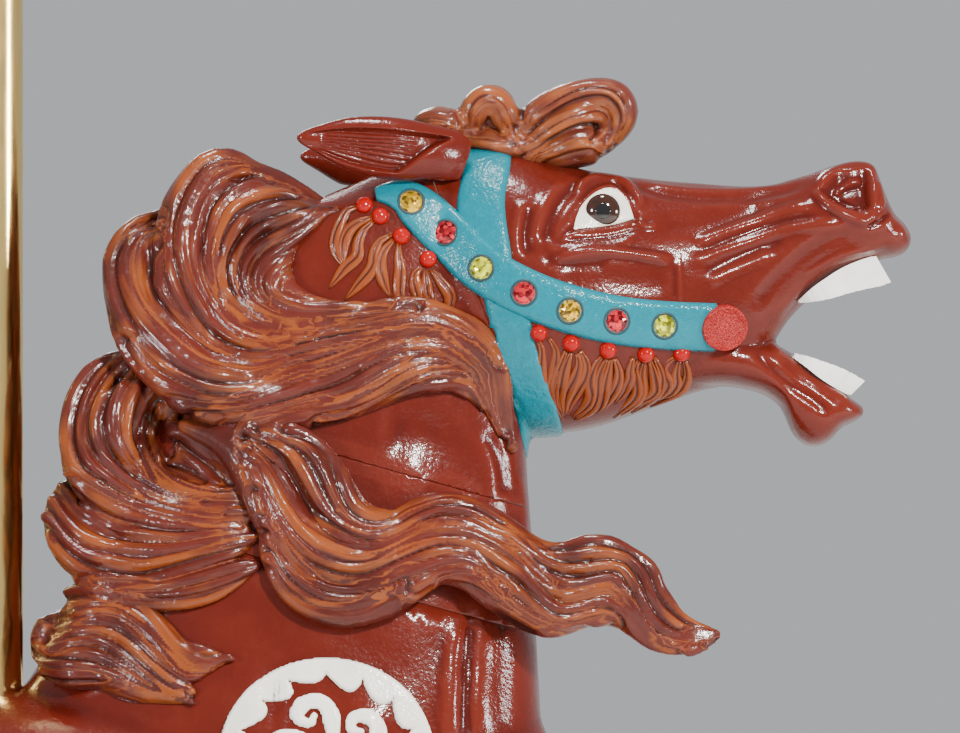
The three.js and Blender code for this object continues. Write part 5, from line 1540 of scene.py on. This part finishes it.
# Colours are paint, shadow and highlight. The trim runs between two distances in from an edge, in mm.
tealColors = ((0.001, 0.17, 0.22), (0.001, 0.1, 0.14), (0.01, 0.26, 0.32))
redColors = ((0.4, 0.004, 0.002), (0.22, 0.002, 0.001), (0.5, 0.012, 0.006))
goldColors = ((0.36, 0.17, 0.02), (0.18, 0.08, 0.012), (0.5, 0.28, 0.05))
coatColors = ((0.106, 0.0104, 0.0052), (0.056, 0.005, 0.003), (0.146, 0.02, 0.011))
beadColors = ((0.36, 0.0015, 0.0005), (0.26, 0.001, 0.0004), (0.42, 0.004, 0.001))
whiteColors = ((0.86, 0.83, 0.74), (0.55, 0.47, 0.36), (0.9, 0.88, 0.8))
hoofColors = ((0.02, 0.014, 0.012), (0.008, 0.006, 0.005), (0.06, 0.045, 0.04))
goldTrim = {"from": 3.0, "to": 12.0, "soft": 0.4, "colors": goldColors}
# Painted finishes: slot, material, colours, roughness, blotches and brush marks, bump, chips and trim
paints = {
    "coat": ("coat", "varnishedCoat", coatColors, 0.15, 5, 42, 0.4, 0.6),
    "teal": ("teal_paint", "tealPaint", tealColors, 0.18, 14, 130, 0.9, 0.5),
    "clothTeal": ("teal_paint", "clothPaint", tealColors, 0.2, 14, 60, 0.5, 0.4, goldTrim),
    "red": ("red_paint", "redPaint", redColors, 0.2, 8, 60, 0.3, 0.3),
    "flapRed": ("red_paint", "flapPaint", redColors, 0.2, 8, 60, 0.3, 0.3, goldTrim),
    "bead": ("red_paint", "beadRed", beadColors, 0.14, 20, 120, 0.3),
    "white": ("white_paint", "whitePaint", whiteColors, 0.36, 10, 80, 0.5, 0.6),
    "gold": ("gold_paint", "goldPaint", goldColors, 0.3, 12, 80, 0.4, 0.4),
    "hoof": ("hoof_paint", "hoofPaint", hoofColors, 0.2, 12, 60, 0.3),
}
# Hair: material, middle, dark, ochre and dull ochre colours, and the noise range over which ochre sets in
hairs = {
    "hair": ("combedHair", (0.102, 0.015, 0.009), (0.044, 0.008, 0.006), (0.33, 0.076, 0.013),
             (0.135, 0.032, 0.009), (0.46, 0.62)),
    "forelock": ("forelockHair", (0.145, 0.029, 0.018), (0.07, 0.014, 0.009), (0.36, 0.092, 0.022),
                 (0.2, 0.06, 0.02), (0.37, 0.56)),
    "tuft": ("tuftHair", (0.12, 0.019, 0.008), (0.07, 0.01, 0.005), (0.31, 0.066, 0.01),
             (0.18, 0.036, 0.007), (0.25, 0.5)),
}
# Plain finishes: slot, material, colour, roughness, clear coat, and the grain's strength and scale
plains = {
    "leather": ("strap_leather", "strapLeather", (0.025, 0.018, 0.014), 0.42, 0.0, 0.5, 400),
    "setting": ("teal_paint", "jewelSetting", (0.01, 0.03, 0.035), 0.5),
    "iris": ("eye_glass", "brownGlass", (0.035, 0.009, 0.003), 0.03, 0.6, 0.6, 160),
    "pupil": ("eye_glass", "pupilGlass", (0.003, 0.002, 0.002), 0.02, 1.0),
    "enamel": ("white_paint", "toothEnamel", (0.92, 0.9, 0.84), 0.2, 0.3, 0.12, 60),
}
glasses = {
    "amber": ("jewel_amber", "amberGlass", (0.95, 0.5, 0.006)),
    "ruby": ("jewel_red", "rubyGlass", (0.7, 0.002, 0.014)),
    "green": ("jewel_green", "greenGlass", (0.85, 0.9, 0.012)),
}


def makeFinishes():
    # Each finish is its slot and its material
    agedAndShaded = agedPaintAndShadeGroup()
    made = {name: (slot, paintMaterial(material, agedAndShaded, *look))
            for name, (slot, material, *look) in paints.items()}
    made.update({name: ("mane_paint", hairMaterial(*look)) for name, look in hairs.items()})
    made.update({name: (slot, plainMaterial(*look)) for name, (slot, *look) in plains.items()})
    made.update({name: (slot, glassMaterial(*look)) for name, (slot, *look) in glasses.items()})
    return {**made, "glitter": ("red_glitter", glitterMaterial()), "brass": ("brass", brassMaterial())}


# Carved work laid on the surface, given as a height in mm over x and z about its centre
def reliefPatch(tree, centre, half, spacing, heightAt, side, bury=2.0):
    xs, zs = (np.arange(-size, size + spacing, spacing) for size in half)
    gridX, gridZ = np.meshgrid(xs, zs, indexing="ij")
    heights = heightAt(gridX, gridZ)
    cells = (heights[:-1, :-1] > 0) | (heights[1:, :-1] > 0) | (heights[:-1, 1:] > 0) | (heights[1:, 1:] > 0)
    used, quads = np.unique(gridQuads(*gridX.shape)[cells], return_inverse=True)
    x, z, heights = (grid.ravel()[used] for grid in (gridX, gridZ, heights))
    top, under = [], []
    for placeX, placeZ, height in zip((centre[0] + x) * mm, (centre[1] + z) * mm, heights):
        place, normal = sideHit(tree, placeX, placeZ, side) or (top[-1], np.array([0, side, 0]))
        top.append(place + normal * height * mm)
        under.append(place - normal * bury * mm)
    return thickSheet(np.array(top), np.array(under), quads.reshape(-1, 4)), x, z


def thickSheet(top, under, quads):
    # Two sheets joined round their edges
    count = len(top)
    a, b = quads.ravel(), np.roll(quads, -1, 1).ravel()
    forward, back = a.astype(np.int64) * count + b, b.astype(np.int64) * count + a
    rim = ~np.isin(forward, back)
    walls = np.stack([b[rim], a[rim], a[rim] + count, b[rim] + count], 1)
    return facingOut(np.vstack([top, under]), [np.vstack([quads, quads[:, ::-1] + count, walls])])


# Medallion: an oval wreath of leaves round a whirl of curled leaves and a boss, on a board in the coat's
# colour. In mm about its centre. The curled leaf is its line and its half widths from end to end.
medallion = {
    "centre": (270, 911), "half": (84, 76), "height": 9, "round": 3.5, "leaves": 15, "band": 0.15,
    "leaf": 0.2, "margin": 4, "spacing": 1.4, "boardSpacing": 3.0, "boardShare": 0.93, "boardHeight": 5.0,
    "boss": ([(-1, 0), (1, 0)], [9, 9]), "curls": 5, "flatten": 0.94,
    "curl": [(5, -3), (18, 0), (31, 6), (39, 18), (34, 30), (22, 30), (21, 20), (28, 19)],
    "curlWidths": [3, 6, 8, 8, 7, 6, 4.5, 3],
}


def medallionStrokes():
    strokes = [medallion["boss"]]
    for turn in np.arange(medallion["curls"]) * 2 * math.pi / medallion["curls"]:
        c, s = math.cos(turn), math.sin(turn)
        line = [(c * x - s * z, medallion["flatten"] * (s * x + c * z)) for x, z in medallion["curl"]]
        strokes.append((line, medallion["curlWidths"]))
    return strokes


def boardHeight(x, z):
    # The board lies over the breast strap, and the wreath hides its edge
    inside = np.hypot(x / medallion["half"][0], z / medallion["half"][1]) < medallion["boardShare"]
    return np.where(inside, medallion["boardHeight"], -1)


def rolled(inward, radius):
    # Height of a rounded edge, 0 to 1
    return np.sqrt(np.clip(bowl(inward, radius), 0, 1))


def medallionHeight(x, z):
    halfX, halfZ = medallion["half"]
    flat = np.stack([x.ravel(), z.ravel()], 1)
    radius = np.hypot(flat[:, 0] / halfX, flat[:, 1] / halfZ)
    turn = np.arctan2(flat[:, 1] / halfZ, flat[:, 0] / halfX) / (2 * math.pi)
    place = turn * medallion["leaves"] + 1.4 * (1 - radius)
    leaf = np.abs(np.sin(math.pi * place)) ** 0.5 * (0.78 + 0.22 * np.cos(2.4 * np.floor(place)))
    inner = 1 - medallion["band"] - medallion["leaf"] * leaf
    inside = np.minimum(1 - radius, radius - inner) * (halfX + halfZ) / 2
    for line, widths in medallionStrokes():
        gap, share = distanceToLine(flat, smoothCurve(line, 30))
        inside = np.maximum(inside, np.interp(share, np.linspace(0, 1, len(widths)), widths) - gap)
    height = medallion["height"] * (0.35 + 0.65 * rolled(inside, medallion["round"]))
    return np.clip(np.where(inside > 0, height, inside * 3), -1.2, None).reshape(x.shape)


# Saddle, cloth, flaps and straps on the trunk, in mm
trappings = {
    "clothEdge": [(-352, 776), (-308, 728), (-256, 766), (-204, 724), (-152, 766), (-100, 728), (-52, 772),
                  (4, 752)],
    # the rays of the cloth: first and last in degrees, and how many
    "clothSweep": (-50, 230, 170),
    "clothThickness": 6.5, "flapThickness": 5, "edgeRadius": 4, "clothTrim": 1.2, "flapTrim": 1.0,
    "flapCentre": (-160, 878), "flapHalf": (82, 102), "flapSpacing": 2.0,
    "flapOutline": [(-82, 975), (-84, 880), (-98, 810), (-138, 780), (-186, 780), (-224, 812), (-236, 880),
                    (-238, 975)],
    "girthKeys": [(-152, a, 780) for a in (2, -30, -60, -90, -120, -150, -182)],
    "breastKeys": [(872, 2, -14), (868, 4, 60), (856, 24, 160), (843, 50, 220), (836, 70, 240),
                   (833, 90, 250), (836, 110, 240), (843, 130, 220), (856, 156, 160), (868, 176, 60),
                   (872, 178, -14)],
    "crupperEnds": (-326, -572),
    # width and thickness of each strap
    "girth": (48, 4.5), "breast": (40, 3.5), "crupper": (26, 3.5),
}
saddleForm = {
    "axis": "x", "power": 2.6, "topPinch": 0.0, "underPinch": 0.0, "steps": 90, "sides": 80,
    "rows": [[-320, 1046, 944, 40], [-314, 1060, 932, 72], [-302, 1063, 925, 92], [-280, 1040, 922, 104],
             [-240, 1001, 920, 108], [-190, 979, 920, 106], [-140, 973, 922, 98], [-96, 985, 925, 84],
             [-66, 1009, 930, 66], [-50, 1018, 936, 48], [-40, 1014, 942, 34], [-36, 1006, 950, 18]],
    "piping": [(-300, 0), (-300, 84), (-270, 98), (-225, 102), (-180, 99), (-130, 89), (-90, 73), (-66, 56),
               (-54, 34), (-50, 0)],
    "pipingRadius": 3.2,
}
stirrup = {"x": -160, "out": 176, "top": 662, "height": 104, "width": 118, "bar": 9, "arch": 14, "tread": 44,
           "strapWidth": 26, "strapThick": 5, "strapOut": 3.0, "strapDown": (930, 905, 880, 850, 815, 785),
           "buckleAt": 34, "buckleHalf": (17, 13)}


def trimHeight(inward, height):
    # The painted trim stands a little proud
    low, high = (np.clip(gap, 0, 1) for gap in (inward - goldTrim["from"], goldTrim["to"] - inward))
    return height * low * high


def clothShape(tree, columns=130, rows=120, bury=1.0):
    # From one zigzag edge, over the back and down to the other, by rays from far out to the trunk's middle
    far, middle = 0.5, 0.8
    edge = np.array(trappings["clothEdge"], float)
    rings = []
    xs = np.linspace(edge[0, 0], edge[-1, 0], columns)
    for x, bottom in zip(xs, np.interp(xs, edge[:, 0], edge[:, 1])):
        path = []
        for degrees in np.linspace(*trappings["clothSweep"]):
            angle = math.radians(degrees)
            origin = (x * mm, -far * math.cos(angle), middle + far * math.sin(angle))
            hit = inwardHit(tree, origin, (x * mm, 0, middle))
            if hit:
                path.append(np.concatenate(hit))
        path = averaged(np.array(path), 3)
        length = lengthAlong(path[:, :3])
        top = np.argmax(path[:, 2])
        first = np.interp(bottom * mm, path[:top, 2], length[:top])
        last = np.interp(-bottom * mm, -path[top:, 2], length[top:])
        rings.append(between(np.linspace(first, last, rows), length, path))
    rings = np.array(rings)
    place, normal = rings[..., :3], unit(rings[..., 3:])
    zigzag, _ = distanceToLine(place[..., [0, 2]].reshape(-1, 2) / mm, edge)
    ends = np.minimum(place[..., 0] / mm - edge[0, 0], edge[-1, 0] - place[..., 0] / mm)
    inward = np.minimum(zigzag.reshape(ends.shape), ends)
    height = trappings["clothThickness"] * (0.3 + 0.7 * rolled(inward, trappings["edgeRadius"]))
    height = height + trimHeight(inward, trappings["clothTrim"])
    top, under = place + normal * height[..., None] * mm, place - normal * bury * mm
    quads = gridQuads(columns, rows).reshape(-1, 4)
    shape = thickSheet(top.reshape(-1, 3), under.reshape(-1, 3), quads)
    return shape, np.tile(inward.ravel(), 2)


def flapInward(x, z):
    # How far in from the flap's edge each place about its centre lies
    outline = np.array(trappings["flapOutline"], float) - trappings["flapCentre"]
    rim = np.vstack([outline[:1], smoothCurve(outline[1:-1], 90), outline[-1:]])
    flat = np.stack([x.ravel(), z.ravel()], 1)
    gap, _ = distanceToLine(flat, rim)
    return np.where(insideOutline(flat, rim), gap, -gap)


def flapHeight(x, z):
    inward = flapInward(x, z)
    height = trappings["flapThickness"] * (0.4 + 0.6 * rolled(inward, trappings["edgeRadius"]))
    height = height + trimHeight(inward, trappings["flapTrim"])
    return np.clip(np.where(inward > 0, height, inward * 3), -1.2, None).reshape(x.shape)


def tubeAlong(points, radii, up, sides=20):
    # A bar of oval section: radii are half its thickness across up and along up, in mm
    run = unit(np.gradient(points, axis=0))
    across = unit(np.cross(run, up))
    u, v = (values[None, :] * radius * mm for values, radius in zip(circle(sides), radii))
    return swept(points, across, np.cross(across, run), u, v)


def platformShape(centre, half, heights, power=5, sides=72):
    # A flat plate with rounded corners: (inset, z) steps from bottom to top, in mm
    u, v = (squared(values, power) for values in circle(sides))
    rings = [[centre[0] + (half[0] - inset) * u, centre[1] + (half[1] - inset) * v, np.full(sides, z)]
             for inset, z in heights]
    return closedTube(np.array(rings).transpose(0, 2, 1) * mm)


def stirrupShape(side):
    x, out, top, bar = stirrup["x"], side * stirrup["out"], stirrup["top"], stirrup["bar"]
    base, halfWidth = top - stirrup["height"], stirrup["width"] / 2
    half = halfWidth - bar / 2
    rise = [(-half, 4), (-half + 1, 30), (-half + 10, 58), (-30, 82), (-14, 96)]
    arch = [*rise, (0, 99), *[(-u, v) for u, v in reversed(rise)]]
    line = smoothCurve([(x + u, out, base + v) for u, v in arch], 90) * mm
    loop = tubeAlong(line, (bar / 2, stirrup["arch"] / 2), (0, 1, 0))
    plate = platformShape((x, out), (halfWidth, stirrup["tread"] / 2),
                          [(2, base), (0, base + 2), (0, base + 6.5), (1.5, base + 8)])
    ribSteps = [(0, base + 7), (0, base + 9.2), (0.8, base + 10)]
    ribs = [platformShape((x, out + k * 7), (halfWidth - 14, 1.6), ribSteps) for k in range(-2, 3)]
    eye = platformShape((x, out), (17, 5), [(1, top - 12), (0, top - 10), (0, top - 2), (1.5, top)])
    return merged([loop, plate, eye, *ribs])


def stirrupStrapShape(tree, side):
    # Down the flap from under the saddle, then free to the stirrup
    x, out, top = stirrup["x"], stirrup["out"], stirrup["top"]
    path = []
    for z in stirrup["strapDown"]:
        place, _ = sideHit(tree, x * mm, z * mm, side)
        path.append([x * mm, place[1] + side * stirrup["strapOut"] * mm, z * mm])
    path += [[x * mm, side * (out - 4) * mm, (top + 60) * mm], [x * mm, side * out * mm, (top - 4) * mm]]
    line = smoothCurve(path, 80)
    run = unit(np.gradient(line, axis=0))
    outward = np.cross(run, [side, 0, 0])
    outward *= np.sign(outward[:, 1:2]) * side
    c, s = circle(28)
    wide = stirrup["strapWidth"] / 2 * mm * squared(c, 8)
    thick = stirrup["strapThick"] / 2 * mm * squared(s, 4)
    strap = swept(line, np.array([[1, 0, 0]]), outward, wide[None, :], thick[None, :])
    # The buckle lies on the strap a little way down
    middle = stirrup["buckleAt"]
    halfX, halfZ = stirrup["buckleHalf"]
    down, lift = run[middle], outward[middle]
    corners = [line[middle] + np.array([a, 0, 0]) * mm + lift * 3 * mm + down * b * mm
               for a, b in [(-halfX, -halfZ), (halfX, -halfZ), (halfX, halfZ), (-halfX, halfZ)]]
    buckle = [tubeAlong(np.linspace(a, b, 4), (2.2, 2.2), lift, 12)
              for a, b in zip(corners, corners[1:] + corners[:1])]
    ends = [(corners[k] + corners[k + 1]) / 2 + lift * 1.5 * mm for k in (0, 2)]
    tongue = tubeAlong(np.linspace(*ends, 4), (1.6, 1.6), lift, 12)
    return strap, merged([*buckle, tongue])


def buildHorse():
    blocks = carveTrunk()
    print("trunk carved")
    nodes = {"head": ["head", "lower_jaw"], "neckUpper": ["neck_upper"], "neckLower": ["neck_lower"],
             "body": ["body", *legForms]}
    nostril = fromPhoto(faceHollows["nostril"][0], carving["out"])
    for name, shape in blocks.items():
        relief = reliefOf(shape, trunkBlocks["neck" if name.startswith("neck") else name][3])
        if name == "head":
            # Painted shade: the nostril's hollow is darkened by lowering its relief
            relief -= np.where(insideOutline(shape[0][:, [0, 2]], nostril), 0.5, 0)
        addPiece(name + "Block", shape, "coat", *nodes[name], relief=relief)
    for name, leg in legForms.items():
        end, side = name.split("leg_")
        addPiece(f"{end}Hoof{side.title()}", hoofShape(leg), "hoof", f"{end}_hoof_{side}")
    return surfaceTree(merged(blocks.values()))


def buildHair(tree):
    fine, coarse = combing["voxels"]
    for part in ("Upper", "Middle", "Lower"):
        carveMane(tree, "mane" + part, "mane" + part, right, "hair", "mane_" + part.lower(), fine)
    carveMane(tree, "flyingLock", "flyingLock", right, "hair", "mane_flying_lock", fine)
    for part in ("Upper", "Middle", "Lower"):
        carveMane(tree, "maneLeft" + part, "mane" + part, left, "hair", "mane_left_" + part.lower(), coarse)
    carveMane(tree, "forelockTufts", "forelock", right, "forelock", "forelock", fine)
    hairPiece("tailLocks", [tailLock(lock) for lock in tailLocks], "hair", "tail")
    print("hair carved")


def buildHead(tree):
    radius, bulge, size = (eyePlace[key] for key in ("radius", "bulge", "pupil"))
    ball = [(radius * math.sin(a), -bulge * math.cos(a)) for a in np.linspace(0.1, math.pi - 0.02, 24)]
    pupil = [(size, bulge - 2.4), (size, bulge - 0.6),
             *[(size * s, bulge + 0.3 - 0.9 * s**2) for s in (0.9, 0.6, 0.3, 0.05)]]
    x, z = fromPhoto([eyePlace["centre"]], eyePlace["out"])[0]
    for side, word in bothSides:
        low = word.lower()
        shape = earShape(side)
        addPiece("ear" + word, shape, "coat", "ear_" + low, relief=reliefOf(shape, 6))
        almond, base = almondShape(tree, side)
        addPiece("eyeWhite" + word, almond, "white")
        centre = np.array([x, base + side * eyePlace["rise"] * mm, z])
        addPiece("eyeGlass" + word, turnedShape(ball, centre, (0, side, 0), 56), "iris", "eye_" + low)
        addPiece("pupil" + word, turnedShape(pupil, centre, (0, side, 0), 40), "pupil")
    for name in ("upper", "lower"):
        piece = addPiece(name + "Teeth", teethShape(teethForms[name]), "enamel", name + "_teeth")
        sharpEdges(piece, 50)
    print("head dressed")


def buildBridle(tree):
    disc = [(bridle["rosetteRadius"] * size, height) for size, height in bridle["rosetteProfile"]]
    ring = [(bridle["jewelRadius"] + out, height) for out, height in bridle["settingRing"]]
    for side, word in bothSides:
        low = word.lower()
        line = fromPhoto(bridle["cheekLine"], 80)
        band = sideStrap(tree, line, bridle["strapWidth"], bridle["thickness"], side)
        addPiece("cheekStrap" + word, band, "teal", "jewelled_strap_" + low)
        top = surfaceTree(band)
        rosette = turnedShape(disc, *placeOnSide(tree, bridle["rosette"], side))
        addPiece("rosette" + word, rosette, "glitter", "rosette_" + low)
        settings = []
        for i, (pixel, kind) in enumerate(bridle["jewels"], 1):
            place, normal = placeOnSide(top, pixel, side)
            seat = place - normal * bridle["jewelDepth"] * mm
            nodes = [f"jewel_{i}"] if side == right else []
            addPiece(f"jewel{word}{i}", jewelShape(seat, normal), kind, *nodes, smooth=False)
            settings.append(turnedShape(ring, place, normal))
        addPiece("jewelSettings" + word, merged(settings), "setting")
        beads = [beadShape(*placeOnSide(tree, pixel, side)) for pixel in bridle["beads"]]
        addPiece("beads" + word, merged(beads), "bead")
        wisps = []
        for i, line in enumerate(wispLines):
            path = lockPath(tree, wisp, line, side, wisp["steps"])
            wisps.append(lockShape(*path, {**wisp, "seed": wisp["seed"] + i}))
        hairPiece("tufts" + word, wisps, "tuft")
    for name, tilt in (("crown", 0.0), ("throat", bridle["throatTilt"])):
        width, thickness = bridle[name + "Width"], bridle["underThickness"]
        addPiece(name + "Strap", wrapStrap(tree, bridle[name + "Keys"], width, thickness, tilt), "teal",
                 name + "_strap")
    print("bridle laid")


def downHit(tree, x, y):
    # From above the back, at x and y in mm
    return inwardHit(tree, (x * mm, y * mm, 1.3), (x * mm, y * mm, 0.8))


def buildTrappings(tree):
    centre, spacing = medallion["centre"], medallion["spacing"]
    half = [size + medallion["margin"] for size in medallion["half"]]
    for side, word in bothSides:
        shape, _, _ = reliefPatch(tree, centre, half, spacing, medallionHeight, side)
        addPiece("medallion" + word, shape, "white", "medallion_" + word.lower(),
                 relief=reliefOf(shape, 6) * 0.6)
        board, _, _ = reliefPatch(tree, centre, medallion["half"], medallion["boardSpacing"], boardHeight,
                                  side)
        addPiece("medallionBoard" + word, board, "coat")
    cloth, inward = clothShape(tree)
    addPiece("saddleCloth", cloth, "clothTeal", "saddle_cloth", edge=inward)
    covered = surfaceTree(cloth)
    for side, word in bothSides:
        low = word.lower()
        flap, x, z = reliefPatch(covered, trappings["flapCentre"], trappings["flapHalf"],
                                 trappings["flapSpacing"], flapHeight, side)
        edge = np.tile(flapInward(x, z), 2)
        addPiece("saddleFlap" + word, flap, "flapRed", "saddle_flap_" + low, edge=edge)
        strap, buckle = stirrupStrapShape(surfaceTree(flap), side)
        addPiece("stirrupStrap" + word, strap, "leather", "stirrup_strap_" + low)
        addPiece("stirrupBuckle" + word, buckle, "brass")
        addPiece("stirrup" + word, stirrupShape(side), "brass", "stirrup_" + low)
    saddle = trunkShape(saddleForm)
    addPiece("saddleSeat", saddle, "red", "saddle")
    seat = surfaceTree(saddle)
    piping = []
    for side in (right, left):
        hits = [downHit(seat, x, side * y) for x, y in smoothCurve(saddleForm["piping"], 100)]
        line = averaged(np.array([hit[0] for hit in hits if hit]), 4)
        piping.append(tubeAlong(line, [saddleForm["pipingRadius"]] * 2, (0, 0, 1), 14))
    addPiece("saddlePiping", merged(piping), "gold")
    addPiece("girthStrap", wrapStrap(tree, trappings["girthKeys"], *trappings["girth"]), "teal", "girth")
    breast = wrapStrap(tree, trappings["breastKeys"], *trappings["breast"], axis="z")
    addPiece("breastStrap", breast, "teal", "breast_strap")
    width, thickness = trappings["crupper"]
    back = [[downHit(tree, x, y) for y in np.linspace(-1, 1, 15) * width / 2]
            for x in np.linspace(*trappings["crupperEnds"], 60)]
    addPiece("crupperStrap", bandShape(back, thickness), "teal", "crupper")
    print("trappings laid")


# Pole and its fittings: profiles of radius and height, in mm, from the axis to the axis
poleProfiles = {
    "pole": ([(1, 14.3), (25.4, 14.3), (25.4, 1984.9), (1, 1984.9)], 0),
    "pole_foot": ([(1, 0), (80, 0), (82, 1.5), (82, 6.5), (80.5, 8), (66, 9), (61, 11), (58, 13.4),
                   (40, 14), (30, 14), (1, 14)], 0),
    "pole_top_cap": ([(1, 0.3), (32.5, 0.3), (34, 2), (34, 10.5), (32, 13), (29, 14.6), (20, 15), (1, 15)],
                     1985),
    "pole_collar": ([(25.8, 2), (27, 0), (40.5, 0), (42, 1.5), (42, 12), (40, 16), (37.5, 20), (37, 26.5),
                     (35.5, 28), (27, 28), (25.8, 26)], 606),
}
footBolts = {"count": 6, "circle": 71, "radius": 5.5, "height": 4.5, "base": 8.4, "turn": 0.3}


def buildPole():
    for name, (profile, base) in poleProfiles.items():
        first, *others = name.split("_")
        shape = turnedShape(profile, np.array([0, 0, base * mm]), (0, 0, 1), 96)
        sharpEdges(addPiece(first + "".join(word.title() for word in others), shape, "brass", name), 40)
    bolts = []
    radius, base, circleRadius = footBolts["radius"], footBolts["base"], footBolts["circle"] * mm
    top = base + footBolts["height"]
    profile = [(radius, base - 2), (radius, top - 0.6), (radius - 0.8, top), (0.5, top)]
    for k in range(footBolts["count"]):
        angle = 2 * math.pi * k / footBolts["count"] + footBolts["turn"]
        place = np.array([circleRadius * math.cos(angle), circleRadius * math.sin(angle), 0])
        bolts.append(turnedShape(profile, place, (0, 0, 1), 6))
    addPiece("footBolts", merged(bolts), "brass", smooth=False)


def sharpEdges(piece, degrees):
    piece.data.set_sharp_from_angle(angle=math.radians(degrees))


finishes = makeFinishes()
addCamera()
addStudio()
surface = buildHorse()
buildHair(surface)
buildHead(surface)
buildBridle(surface)
buildTrappings(surface)
buildPole()
